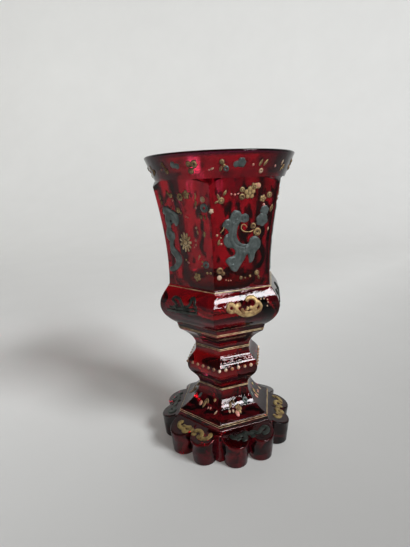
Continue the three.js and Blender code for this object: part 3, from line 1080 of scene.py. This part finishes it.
bulgeScrolls = (
    {
        "ribbons": (
            (0.94, ((-6.4, 2.7), (-6.9, 3.9), (-8, 4.35), (-9.2, 3.9), (-9.7, 2.7), (-9.2, 1.6), (-8, 1.05),
                    (-6.9, 1.5), (-6.4, 2.7))),
            (0.75, ((-7.2, 0.7), (-6, 0.9), (-5, 0.6))),
            (1, ((-3.1, 3.6), (-4.8, 3.6), (-5.6, 2.1), (-4.5, 0.2), (-2.3, -1.2), (0.1, -1.8), (2.9, -1.6),
                   (5.3, -0.6), (7, 0.8))),
            (0.88, ((-2.9, 2), (-2.5, 0.6), (-1.1, -0.4), (0.9, -0.6), (3, -0.1), (4.8, 1))),
            (0.62, ((-1, 0.7), (0.2, 1.4), (-0.3, 2.4))),
            (0.94, ((-0.1, 4.6), (1.1, 5.8), (3.3, 5.9), (4.8, 4.8), (5, 3.1), (3.9, 1.7), (2.1, 1.4),
                    (1.2, 2.4))),
            (0.88, ((5.3, 4.2), (6.5, 2.9), (7, 1.4), (6.2, 0.1))),
        ),
    },
    {
        "ribbons": (
            (0.8, ((-12.4, -1.6), (-9.1, -1.4), (-5, -1.4), (-0.4, -0.8), (3.5, -0.8), (7.4, 0.2))),
            (0.7, ((-10.4, 0.4), (-8.2, 0.2), (-5.6, 1.7), (-7.1, 3.2), (-8.7, 4), (-7.4, 5.1), (-4.6, 4.7),
                   (-2.7, 3.1), (-1.4, 1.4))),
            (0.7, ((-6.4, 0), (-3.4, 0.4), (-0.2, 1.4), (2.2, 2.6), (3, 4.3), (2.9, 5.9), (4.2, 6),
                   (5.2, 4.9), (5.4, 3.4), (7.2, 2.2))),
            (0.62, ((-1.6, 0.4), (2.2, 0.9), (5.2, 1.4), (7.6, 1.1))),
        ),
    },
)
skirtScrolls = (
    {
        "ribbons": (
            (1.1, ((-8.9, 26.9), (-8.8, 28.6), (-7.1, 29.2), (-5.1, 28.4), (-3.4, 28.5), (-2.2, 29.7),
                   (-2.8, 31), (-5, 31.2))),
            (1.1, ((-3.3, 28.1), (-1.1, 27.9), (0.4, 28.9), (2.2, 28.3), (3.7, 29), (4.8, 30.1))),
            (1.1, ((4.6, 29.8), (5.9, 29.2), (7.6, 28), (9.6, 27.4), (10.7, 28.5), (10, 30), (8.1, 30.7),
                   (6.6, 30.4))),
            (0.85, ((-7.6, 30.4), (-6.2, 30.1), (-4.6, 29.6))),
            (0.85, ((0.2, 30.4), (1.4, 30.7), (2.6, 30))),
        ),
    },
    {
        "ribbons": (
            (1.1, ((-7.6, 27.1), (-9.2, 27.8), (-8.8, 29.4), (-6.9, 30.3), (-4.7, 30.4), (-3.7, 31.4),
                   (-2.4, 31), (-1.9, 29.5), (-0.6, 28.8), (1, 29.9))),
            (1.1, ((1, 29.9), (1.8, 29), (2.6, 28), (4.4, 27.6), (6.3, 28.6), (6.6, 30))),
            (1.1, ((4.7, 30.2), (6.5, 30.9), (9, 30.4), (10.5, 29.1), (10.8, 27.4), (9.6, 26.7))),
            (0.85, ((-6.6, 28.6), (-4.8, 28.9), (-3.2, 28.4), (-1.6, 27.6))),
            (0.85, ((1.2, 31), (2.6, 30.7), (3.4, 29.7))),
        ),
    },
)


def makeScroll(name, design, ground, material, slotName, *nodes):
    bm = bmesh.new()
    if "outline" in design:
        loops = [smoothLine(design["outline"], paste["scrollStep"], closed=True)]
        for centre, radius in design.get("holes", ()):
            loops.append(ringOf(centre, radius, paste["holePoints"]))
        ridges = [(smoothLine(line, paste["ridgeStep"]), width, rise)
                  for line, width, rise in design["ridges"]]
        raisePiece(bm, loops, ridges, paste["scroll"], paste["roundOff"], paste["scrollStep"], ground)
    for halfWidth, points in design["ribbons"]:
        drawRibbon(bm, points, halfWidth, paste["ribbon"], ground)
    return pieceOf(name, bm, material, slotName, *nodes)


def makeScrolls():
    for side in range(sides):
        design, number = side % 2, side + 1
        ground = flatGround(side, goblet)
        onPanel = shifted(ground, rise=levels["crease"][1])
        makeScroll(f"panel_rocaille_{number}", panelScrolls[design], onPanel,
                   tarnishedSilver, "silvering", f"panel_scroll_{number}")
        onBulge = shifted(ground, rise=levels["bulge"][1])
        # the darker silver of the bulge and the skirt carries painted shade as well as blackening
        finish = (wornGold, "gilt") if design == 0 else (tarnishAndShadeSilver, "silvering")
        makeScroll(f"bulge_rocaille_{number}", bulgeScrolls[design], onBulge,
                   *finish, f"bulge_scroll_{number}")
        onSkirt = flatGround(side, skirtProfile)
        finish = (tarnishAndShadeSilver, "silvering") if design == 0 else (dullGold, "gilt")
        makeScroll(f"skirt_rocaille_{number}", skirtScrolls[design], onSkirt, *finish)


makeScrolls()
print("scrolls made")

# Florets: berries, leaves, flowers and dots of paste, strewn on the panels, the rim band and the cone

floretForms = {
    "berry": {"points": 12, "height": 0.32},
    "dot": {"points": 8, "height": 0.28},
    "ringlet": {"points": 14, "height": 0.3, "roundOff": 0.36, "eye": 0.28},
    "leaf": {"height": 0.3, "roundOff": 0.4, "vein": (0.7, 0.3, -0.12)},    # the vein's reach, width, rise
    "flower": {"petals": 5, "notch": 0.3, "height": 0.3},
    "rosette": {"petals": 6, "notch": 0.13, "height": 0.22, "relief": 0.5},
    "sunburst": {"petals": 11, "notch": 0.4, "height": 0.34, "stretch": (0.86, 1.12), "grooveShare": 0.8},
}
petalRelief = {             # shares of the floret's size, and how far each part rises
    "steps": 8,             # to each petal
    "groove": (0.35, 0.95),
    "grooveWidth": 0.2,
    "grooveRise": -0.22,
    "eyeWidth": 0.32,
    "eyeRise": 0.18,
    "roundOff": 0.35,
}


def turned(points, degrees):
    around = Matrix.Rotation(math.radians(degrees), 2)
    return [around @ Vector(p) for p in points]


def roundFloret(size, points, height, roundOff=1, eye=0):
    loops = [ringOf((0, 0), size, points)]
    if eye:
        loops.append(ringOf((0, 0), size * eye, paste["eyePoints"]))
    return loops, [], height, size * roundOff


def leafFloret(size, turn, height, roundOff, vein):
    outline = [(-size, 0), (-size * 0.4, size * 0.42), (size * 0.3, size * 0.4), (size, 0.1),
               (size * 0.4, -size * 0.38), (-size * 0.4, -size * 0.36)]
    reach, width, rise = vein
    groove = turned([(-size * reach, 0), (size * reach, 0)], turn)
    loops = [turned(smoothLine(outline, paste["leafStep"], closed=True), turn)]
    return loops, [(groove, width, rise)], height, size * roundOff


# A ring of petals with grooves between them, round a raised eye
def petalFloret(size, turn, petals, notch, height, relief=1, stretch=(1, 1), grooveShare=1):
    shape = Matrix.Rotation(math.radians(turn), 2) @ Matrix.Diagonal(stretch)
    outline, grooves = [], []
    steps = petals * petalRelief["steps"]
    for i in range(steps):
        angle = math.tau * i / steps
        reach = size * (1 - notch * (0.5 - 0.5 * math.cos(petals * angle)) ** 2)
        outline.append(shape @ (onCircle(angle) * reach))
    width = size * petalRelief["grooveWidth"] * grooveShare
    for i in range(petals):
        out = onCircle(math.tau * (i + 0.5) / petals)
        line = [shape @ (out * size * share) for share in petalRelief["groove"]]
        grooves.append((line, width, petalRelief["grooveRise"] * relief))
    width = size * petalRelief["eyeWidth"] * grooveShare
    grooves.append(([Vector((0, 0))], width, petalRelief["eyeRise"] * relief))
    return [outline], grooves, height, size * petalRelief["roundOff"]


def makeFloret(shape, size, turn):
    form = floretForms[shape]
    if "petals" in form:
        return petalFloret(size, turn, **form)
    if "vein" in form:
        return leafFloret(size, turn, **form)
    return roundFloret(size, **form)


# What is drawn in brown on a gilt floret: a line along a leaf, or a ring round the eye and rays between the
# petals
brownDrawing = {
    "outline": 0.24,        # how far the brown under a floret shows round it
    "halfWidth": 0.11,
    "height": 0.06,
    "arch": 0.04,           # how far the line along a leaf bows
    "line": 0.7,            # from here on shares of the floret's size
    "ring": 0.55,
    "ringInPetals": 0.34,
    "rays": (0.45, 0.66),
}


def drawing(shape, size, turn):
    if shape == "leaf":
        reach = size * brownDrawing["line"]
        return [turned([(-reach, 0), (0, brownDrawing["arch"]), (reach, 0)], turn)]
    petals = floretForms[shape].get("petals", 0)
    radius = size * brownDrawing["ringInPetals" if petals else "ring"]
    ring = ringOf((0, 0), radius, paste["eyePoints"])
    strokes = [ring + ring[:1]]
    for i in range(petals):
        ray = onCircle(math.tau * (i + 0.5) / petals)
        strokes.append(turned([ray * size * share for share in brownDrawing["rays"]], turn))
    return strokes


# Shape, finish, across from the middle of its side, up from the base line, size, and turn in degrees
panelFlorets = (
    (
        ("flower", "gold", 2.2, 43.4, 2.7, 20), ("flower", "gold", 4.2, 46.0, 1.7, 50),
        ("berry", "pink", 6.1, 46.3, 1.3, 0), ("berry", "gold", -1.5, 44.9, 1.1, 0),
        ("ringlet", "gold", -1.4, 41.9, 1.3, 0), ("flower", "gold", 8.9, 40.7, 1.6, 0),
        ("berry", "gold", 12.0, 42.2, 1.3, 0), ("dot", "pink", -6.6, 43.2, 0.5, 0),
        ("dot", "pink", -4.9, 42.9, 0.55, 0), ("leaf", "pink", -3.4, 43.2, 0.7, 20),
        ("leaf", "gold", -9.6, 43.8, 1.3, 60), ("leaf", "gold", -12.6, 42.4, 1.2, 110),
        ("berry", "gold", -11.2, 40.7, 1.4, 0), ("leaf", "gold", -13.3, 40.1, 1.0, 30),
        ("flower", "cream", -15.6, 36.4, 1.2, 45), ("dot", "pink", 9.6, 37.9, 0.7, 0),
        ("leaf", "gold", 13.6, 36.2, 1.7, 75), ("ringlet", "gold", 4.9, 28.7, 1.3, 0),
        ("ringlet", "gold", 7.1, 25.8, 1.9, 0), ("dot", "cream", -12.6, 25.6, 0.6, 0),
        ("dot", "cream", -10.8, 24.4, 0.5, 0), ("leaf", "gold", -11.7, 22.4, 1.3, 80),
        ("dot", "pink", -10.6, 21.6, 0.55, 0), ("ringlet", "gold", -11.3, 9.3, 1.5, 0),
        ("berry", "gold", -9.8, 7.9, 0.9, 0), ("berry", "cream", -11.6, 6.1, 1.2, 0),
        ("dot", "pink", -8.4, 4.7, 0.35, 0), ("dot", "pink", -7.2, 4.3, 0.35, 0),
        ("dot", "pink", -6.0, 4.2, 0.35, 0), ("berry", "gold", -0.8, 4.9, 0.75, 0),
        ("dot", "gold", 1.2, 4.6, 0.55, 0), ("dot", "gold", 3.8, 5.2, 0.65, 0),
        ("berry", "gold", 7.4, 6.4, 1.2, 0), ("leaf", "gold", 8.3, 4.2, 1.1, 100),
        ("leaf", "cream", 12.6, 26.8, 1.0, 80), ("rosette", "silver", 10.2, 35.4, 2.3, 10),
        ("rosette", "silver", 9.2, 31.2, 3.1, 40),
    ),
    (
        ("leaf", "gold", -8.0, 44.4, 1.3, 120), ("berry", "gold", -6.3, 43.3, 1.1, 0),
        ("dot", "pink", -5.4, 41.2, 0.6, 0), ("ringlet", "gold", -0.7, 42.6, 1.7, 0),
        ("flower", "gold", 3.1, 43.6, 1.9, 15), ("leaf", "gold", -13.4, 42.6, 1.3, 95),
        ("leaf", "gold", -12.9, 40.2, 1.1, 80), ("berry", "gold", -3.2, 36.6, 1.3, 0),
        ("leaf", "gold", -1.8, 35.4, 0.9, 40), ("dot", "pink", 0.9, 33.8, 0.4, 0),
        ("dot", "pink", 2.2, 33.4, 0.4, 0), ("berry", "cream", 12.2, 41.4, 1.3, 0),
        ("ringlet", "silver", 12.4, 37.8, 2.1, 0), ("leaf", "gold", 8.0, 39.6, 1.3, 70),
        ("dot", "pink", 7.8, 37.8, 0.6, 0), ("berry", "gold", 9.9, 33.9, 0.9, 0),
        ("leaf", "gold", 12.3, 33.7, 1.1, 95), ("sunburst", "bright", -1.2, 21.8, 4.2, 0),
        ("dot", "pink", 5.1, 23.0, 0.6, 0), ("dot", "pink", 5.0, 20.9, 0.6, 0),
        ("dot", "pink", 3.9, 19.7, 0.35, 0), ("dot", "cream", 6.3, 28.8, 0.6, 0),
        ("leaf", "pink", 6.8, 26.8, 1.0, 100), ("leaf", "gold", 10.6, 26.1, 1.4, 85),
        ("ringlet", "silver", 10.0, 12.0, 1.8, 0), ("dot", "gold", 7.9, 13.3, 0.5, 0),
        ("dot", "gold", 7.6, 11.2, 0.5, 0), ("flower", "gold", 4.4, 5.6, 2.1, 45),
        ("dot", "gold", 10.4, 8.2, 0.6, 0), ("dot", "gold", 12.4, 8.3, 0.6, 0),
        ("leaf", "pink", -0.6, 12.0, 0.9, 150), ("dot", "gold", -2.0, 13.2, 0.5, 0),
        ("leaf", "pink", 6.4, 15.6, 1.1, 60), ("dot", "pink", 5.6, 14.2, 0.4, 0),
    ),
)
bulgeFlorets = (
    (
        ("dot", "cream", 7.5, 4.7, 0.42, 0), ("dot", "cream", 9.1, 4.7, 0.42, 0),
        ("dot", "cream", 10.8, 4.1, 0.42, 0), ("dot", "cream", 10.9, 2.9, 0.42, 0),
        ("dot", "cream", 10.3, 1.3, 0.42, 0), ("dot", "cream", 6.6, 3.7, 0.38, 0),
    ),
    (),
)
coneFlorets = (
    (
        ("flower", "gold", -0.4, 22.0, 1.7, 0), ("berry", "pink", -1.8, 20.6, 1.1, 0),
        ("leaf", "gold", -4.0, 24.1, 1.4, 60), ("leaf", "gold", -2.1, 24.9, 1.1, 100),
        ("dot", "cream", -5.6, 21.8, 0.6, 0), ("ringlet", "silver", 4.6, 24.6, 1.5, 0),
        ("dot", "cream", -3.6, 21.6, 0.6, 0),
    ),
    (
        ("leaf", "gold", -0.9, 23.2, 1.9, 85), ("leaf", "gold", 0.4, 24.3, 1.2, 120),
        ("berry", "pink", -3.4, 22.6, 1.0, 0), ("leaf", "silver", -5.6, 25.4, 1.6, 60),
        ("dot", "pink", 2.2, 21.9, 0.5, 0), ("dot", "pink", 3.6, 22.1, 0.5, 0),
        ("leaf", "cream", 7.6, 21.4, 1.0, 60), ("dot", "gold", 4.4, 25.6, 0.8, 0),
    ),
)

# Thin gilt curls beside the scrolls of the panels
panelCurls = (
    (
        ((1.9, 28.2), (0.6, 29.6), (-0.7, 29.4), (-1, 28), (0.1, 26.7), (2.2, 26.1), (4.2, 26.3),
         (5.2, 26.9)),
        ((-11.2, 26.6), (-9.8, 28), (-9.4, 29.4)),
    ),
    (
        ((7.4, 41), (8.6, 42.6), (8.4, 44.2)),
    ),
)

# On the rim band a run of clusters and leaves comes three times round: degrees from a corner, then as above
bandRun = (
    (-36.4, (("berry", "gold", -0.6, 6.7, 0.9, 0), ("berry", "gold", 0.6, 3.8, 1.1, 0),
             ("leaf", "gold", 0.4, 5.4, 0.9, 110), ("dot", "pink", -2.6, 4.6, 0.5, 0))),
    (-25.5, (("rosette", "silver", -0.8, 6.2, 1.5, 0), ("rosette", "silver", 1.1, 5.6, 1.3, 30))),
    (-12.0, (("berry", "gold", -1.2, 6.1, 1.1, 0), ("ringlet", "gold", 1.2, 6.0, 1.3, 0),
             ("berry", "gold", -0.7, 3.3, 1.1, 0), ("leaf", "gold", 0.6, 4.4, 0.8, 30))),
    (2.4, (("leaf", "cream", 0, 3.8, 0.9, 25), ("dot", "pink", -1.3, 3.4, 0.4, 0))),
    (10.4, (("berry", "gold", -0.6, 6.4, 0.9, 0), ("leaf", "gold", -1.0, 3.8, 1.1, 70),
            ("ringlet", "silver", 1.2, 3.7, 1.2, 0), ("dot", "gold", 0.3, 5.0, 0.6, 0))),
    (22.0, (("rosette", "silver", 0.6, 5.9, 2.0, 0), ("rosette", "silver", -1.6, 5.3, 1.3, 20))),
    (32.0, (("dot", "pink", 0, 4.9, 0.6, 0),)),
    (40.4, (("leaf", "gold", -1.4, 5.7, 1.4, 65), ("leaf", "gold", 1.2, 5.7, 1.5, 55),
            ("ringlet", "cream", -0.3, 2.5, 1.1, 0))),
    (53.3, (("dot", "pink", 0, 4.3, 0.6, 0),)),
    (64.0, (("leaf", "cream", -1.6, 5.8, 1.2, 80), ("berry", "gold", 0.8, 4.2, 1.0, 0),
            ("leaf", "gold", -0.6, 3.2, 1.0, 60))),
)

floretFinishes = {
    "gold": (wornGold, "gilt"),
    "bright": (brightGold, "gilt"),
    "silver": (tarnishedSilver, "silvering"),
    "pink": (pinkEnamel, "enamel"),
    "cream": (creamEnamel, "enamel"),
    "brown": (brownOutline, "enamel"),
}


# Adds every floret of a list to the mesh of its finish. Gilt ones, but for dots, get their brown drawing.
def strew(meshes, florets, ground):
    for shape, finish, across, rise, size, turn in florets:
        place = shifted(ground, across, rise)
        loops, ridges, height, roundOff = makeFloret(shape, size, turn)
        raisePiece(meshes[finish], loops, ridges, height, roundOff, paste["floretStep"], place)
        if floretFinishes[finish][1] != "gilt" or shape == "dot":
            continue
        wider = [p * (1 + brownDrawing["outline"] / size) for p in loops[0]]
        raisePiece(meshes["brown"], [wider], [], 0, 1, paste["floretStep"], place)
        onTop = shifted(place, lift=height)
        for points in drawing(shape, size, turn):
            drawRibbon(meshes["brown"], points, brownDrawing["halfWidth"], brownDrawing["height"], onTop)


def newMeshes():
    return {finish: bmesh.new() for finish in floretFinishes}


def keepMeshes(name, meshes):
    for finish, bm in meshes.items():
        if bm.verts:
            pieceOf(f"{name}_{finish}", bm, *floretFinishes[finish])


def makeFlorets():
    for side in range(sides):
        design = side % 2
        ground = flatGround(side, goblet)
        onPanel = shifted(ground, rise=levels["crease"][1])
        onBowl, onFoot = newMeshes(), newMeshes()
        strew(onBowl, panelFlorets[design], onPanel)
        strew(onBowl, bulgeFlorets[design], shifted(ground, rise=levels["bulge"][1]))
        strew(onFoot, coneFlorets[design], ground)
        for points in panelCurls[design]:
            drawRibbon(onBowl["gold"], points, *paste["curl"], onPanel)
        keepMeshes(f"bowl_florets_{side + 1}", onBowl)
        keepMeshes(f"cone_florets_{side + 1}", onFoot)
    onBand = newMeshes()
    for third in range(3):
        for degrees, florets in bandRun:
            ground = roundGround(degrees + 120 * third, rimBand)
            strew(onBand, florets, shifted(ground, rise=bowl["bandFootHeight"]))
    keepMeshes("rim_florets", onBand)


makeFlorets()
print("florets made")

# Enamel beads, one row round the knop with a bead on each corner

beadRow = {
    "perSide": 6,
    "radius": 0.85,
    "variety": 0.07,     # how much larger or smaller than that a bead may be
    "height": 0.75,
    "rise": 1.8,         # above the belly of the knop
    "points": 14,
    "step": 0.3,
}


def makeBeads():
    z = levels["knop"][1] + beadRow["rise"]
    half = goblet(z)[0].x * math.tan(sideTurn / 2)
    for side in range(sides):
        for i in range(beadRow["perSide"]):
            ground = cornerGround(side, goblet) if i == 0 else flatGround(side, goblet)
            middle = 0 if i == 0 else half * (2 * i / beadRow["perSide"] - 1)
            size = beadRow["radius"] * (1 + beadRow["variety"] * math.sin(5 * side + 3 * i))
            bm = bmesh.new()
            raisePiece(bm, [ringOf((0, 0), size, beadRow["points"])], [], beadRow["height"], size,
                       beadRow["step"], shifted(ground, middle, z))
            enamel = dullBeadEnamel if side % 2 else beadEnamel
            pieceOf(f"bead_{side + 1}_{i + 1}", bm, enamel, "enamel", f"enamel_bead_{side + 1}_{i + 1}")


makeBeads()

# Gilt lines, brushed over the creases and worn thin in places

giltLines = {
    "height": 0.13,
    "edge": 0.04,           # height of a stroke's upright edge
    "waver": 0.3,           # share by which the brush widens and narrows
    "waves": ((0.37, 1, 1), (0.83, 2, 0.6)),    # turn with each step, shift with the height, and strength
    "sideSteps": 24,
    "rows": (-1, -0.96, -0.6, 0, 0.6, 0.96, 1),
    "levels": {             # height, width of a stroke, and how far apart the two strokes of a line are
        "foot_gilt_line": (levels["footBreak"][1] - 0.9, 0.22, 0.78),
        "lower_neck_gilt_line": (levels["lowerNeck"][1], 0.3, 0.6),
        "upper_neck_gilt_line": (levels["upperNeck"][1], 0.34, 0.76),
        "ledge_gilt_line": (levels["ledgeTop"][1] - 2.4, 0.32, 0.68),
        "crease_gilt_line": (levels["crease"][1] - 0.75, 0.36, 0),
    },
}


# Adds one brush stroke, all the way round, to a mesh
def drawStroke(bm, level, width):
    rows = giltLines["rows"]
    loops = []
    for i, (byWidth, byEdge) in enumerate(hexUnits(evenShares(giltLines["sideSteps"]))):
        waver = sum(strength * math.sin(turn * i + shift * level)
                    for turn, shift, strength in giltLines["waves"])
        half = width / 2 * (1 + giltLines["waver"] * waver / 2)
        loop = []
        for row in rows:
            raised = 0 if abs(row) == 1 else giltLines["edge"] + giltLines["height"] * (1 - row * row)
            point, normal = goblet(level + half * row)
            spot = point + normal * (paste["seat"] + raised)
            flat = byWidth * spot.x + byEdge * stem["edge"]
            loop.append(bm.verts.new(Vector((flat.x, flat.y, spot.y)) * mm))
        loops.append(loop)
    for here, there in zip(loops, loops[1:] + loops[:1]):
        for a in range(len(rows)):
            b = (a + 1) % len(rows)
            bm.faces.new((here[a], there[a], there[b], here[b])).smooth = True


def makeGiltLine(name, level, width, apart):
    bm = bmesh.new()
    drawStroke(bm, level - apart / 2, width)
    if apart:
        drawStroke(bm, level + apart / 2, width)
    pieceOf(name.replace("_gilt_line", "_gilding"), bm, brightGold, "gilt", name)


for name, measures in giltLines["levels"].items():
    makeGiltLine(name, *measures)
print("beads and gilt lines made")

# Floor and backdrop in one sweep of paper, in metres

stage = {
    "halfWidth": 3.0,
    "front": -0.26,
    "back": 1.1,
    "bend": 0.5,
    "bendSteps": 16,
    "height": 2.5,
    "gap": 0.15 * mm,      # air under the foot
    "roughness": 0.9,
    "colours": ((0.66, 0.66, 0.65), (0.64, 0.64, 0.63)),
    "mottle": {"Scale": 14, "Cover": 0.5, "Softness": 0.2},
    # painted shade: the paper turns dark towards the front and to the right
    "paintedShadeColour": (0.08, 0.08, 0.08),
    "paintedShadeFade": {"Across": -0.85, "Forward": 0.7, "Start": 0.13, "End": -0.33},
    # painted light: the paper glows, more towards the back and the left
    "glow": ((0.114, 0.108, 0.102), (0.275, 0.273, 0.263)),
    "glowFade": {"Across": -0.5, "Forward": 0.6, "Start": 0.25, "End": 1.0},
}


def makeSweep():
    floor, bendRadius = -stage["gap"], stage["bend"]
    bendStart = stage["back"] - bendRadius
    profile = [(stage["front"], floor)]
    for turn in quarterTurns(stage["bendSteps"]):
        profile.append((bendStart + bendRadius * math.sin(turn), floor + bendRadius * (1 - math.cos(turn))))
    profile.append((stage["back"], stage["height"]))
    bm = bmesh.new()
    left = [bm.verts.new((-stage["halfWidth"], y, z)) for y, z in profile]
    right = [bm.verts.new((stage["halfWidth"], y, z)) for y, z in profile]
    for i in range(len(profile) - 1):
        bm.faces.new((left[i], right[i], right[i + 1], left[i + 1]))
    sweep = objectOf("paper_sweep", bm)
    sweep.data.shade_smooth()
    material, nodes, links = newMaterial("pale_paper")
    shader = nodes["Principled BSDF"]
    shader.inputs["Roughness"].default_value = stage["roughness"]
    mottle = useGroup(nodes, patches, **stage["mottle"])
    paper = mixColours(nodes, links, mottle.outputs["Mask"], *stage["colours"])
    # painted shade on the paper, darker towards the front and to the right
    shade = useGroup(nodes, fade, **stage["paintedShadeFade"])
    mixColours(nodes, links, shade.outputs["Mask"], paper, stage["paintedShadeColour"],
               shader.inputs["Base Color"])
    # painted light: the paper gives off light of its own, brighter towards the back and the left
    lit = useGroup(nodes, fade, **stage["glowFade"])
    mixColours(nodes, links, lit.outputs["Mask"], *stage["glow"], shader.inputs["Emission Color"])
    shader.inputs["Emission Strength"].default_value = 1
    sweep.data.materials.append(material)


makeSweep()

# Soft light: a window to the right of the camera, in two panes under a transom, with the daylight that
# comes in through it, and a dim room

lights = {
    "room": (                # height, from 0 below to 1 above, and brightness
        (0.38, 0.03),        # floor
        (0.42, 0.34), (0.58, 0.34),      # walls near eye height
        (0.64, 0.05), (0.86, 0.05),      # walls above
        (0.95, 0.06),        # ceiling
    ),
    "roomColour": (1.0, 0.985, 0.965),
    "behind": 1.4,           # how many times brighter the room is behind the goblet
    "behindRange": (-0.4, 0.6),
    "daylight": (0.955, 0.98, 1.0),
    "distance": 2.06,        # metres, from the goblet to the window
    "aim": 0.08,             # metres, the height that the window is turned to
    "middlePane": {"heading": -27.5, "climb": 38.4, "size": (17.5, 7.6), "lean": -8, "power": 10.8},
    "lowerPane": {"heading": -41, "climb": 26.5, "size": (6.5, 17), "lean": 0, "power": 6},
    "transom": {"heading": -28, "climb": 46.4, "size": (17, 1.1), "lean": -8, "power": 1.4},
    "daylightBeam": {"heading": -28.5, "climb": 38, "size": (19, 13), "lean": 0, "power": 20,
                     "mirrored": False},
}


# A pane of the window, placed and sized by degrees as seen from the goblet
def windowPane(name, heading, climb, size, lean, power, mirrored=True):
    data = bpy.data.lights.new(name, "AREA")
    data.shape = "RECTANGLE"
    data.size, data.size_y = (2 * lights["distance"] * math.tan(math.radians(angle / 2)) for angle in size)
    data.energy = power
    data.color = lights["daylight"]
    light = bpy.data.objects.new(name, data)
    turn = Matrix.Rotation(math.radians(heading), 4, "Z")
    rise = Matrix.Rotation(math.radians(-climb), 4, "Y")
    away = (turn @ rise) @ Vector((lights["distance"], 0, 0))
    facing = away.to_track_quat("Z", "Y").to_matrix().to_4x4()
    tilt = Matrix.Rotation(math.radians(lean), 4, "Z")
    light.matrix_world = Matrix.Translation(away + Vector((0, 0, lights["aim"]))) @ facing @ tilt
    light.visible_glossy = mirrored
    scene.collection.objects.link(light)


# The room as bands of brightness, from the floor up to the ceiling
def makeRoom():
    world = bpy.data.worlds.new("soft_room")
    scene.world = world
    world.use_nodes = True
    nodes, links = world.node_tree.nodes, world.node_tree.links
    place = nodes.new("ShaderNodeTexCoord")
    split = nodes.new("ShaderNodeSeparateXYZ")
    links.new(place.outputs["Generated"], split.inputs["Vector"])
    height = nodes.new("ShaderNodeMapRange")
    height.inputs["From Min"].default_value = -1
    links.new(split.outputs["Z"], height.inputs["Value"])
    bands = nodes.new("ShaderNodeValToRGB")
    while len(bands.color_ramp.elements) < len(lights["room"]):
        bands.color_ramp.elements.new(0.5)
    for element, (at, level) in zip(bands.color_ramp.elements, lights["room"]):
        element.position = at
        element.color = tuple(level * share for share in lights["roomColour"]) + (1,)
    links.new(height.outputs["Result"], bands.inputs["Fac"])
    depth = nodes.new("ShaderNodeMapRange")
    depth.inputs["From Min"].default_value, depth.inputs["From Max"].default_value = lights["behindRange"]
    depth.inputs["To Min"].default_value = 1
    depth.inputs["To Max"].default_value = lights["behind"]
    links.new(split.outputs["Y"], depth.inputs["Value"])
    links.new(bands.outputs["Color"], nodes["Background"].inputs["Color"])
    links.new(depth.outputs["Result"], nodes["Background"].inputs["Strength"])


makeRoom()
for name in ("middlePane", "lowerPane", "transom", "daylightBeam"):
    windowPane(name, **lights[name])
print("floor, room and lights made")

# Enough bounces for light to pass through all the walls of the glass
scene.cycles.max_bounces = 32
scene.cycles.transmission_bounces = 32
scene.cycles.transparent_max_bounces = 64
scene.view_settings.view_transform = "Standard"
scene.view_settings.exposure = 0.28
scene.view_settings.gamma = 0.9
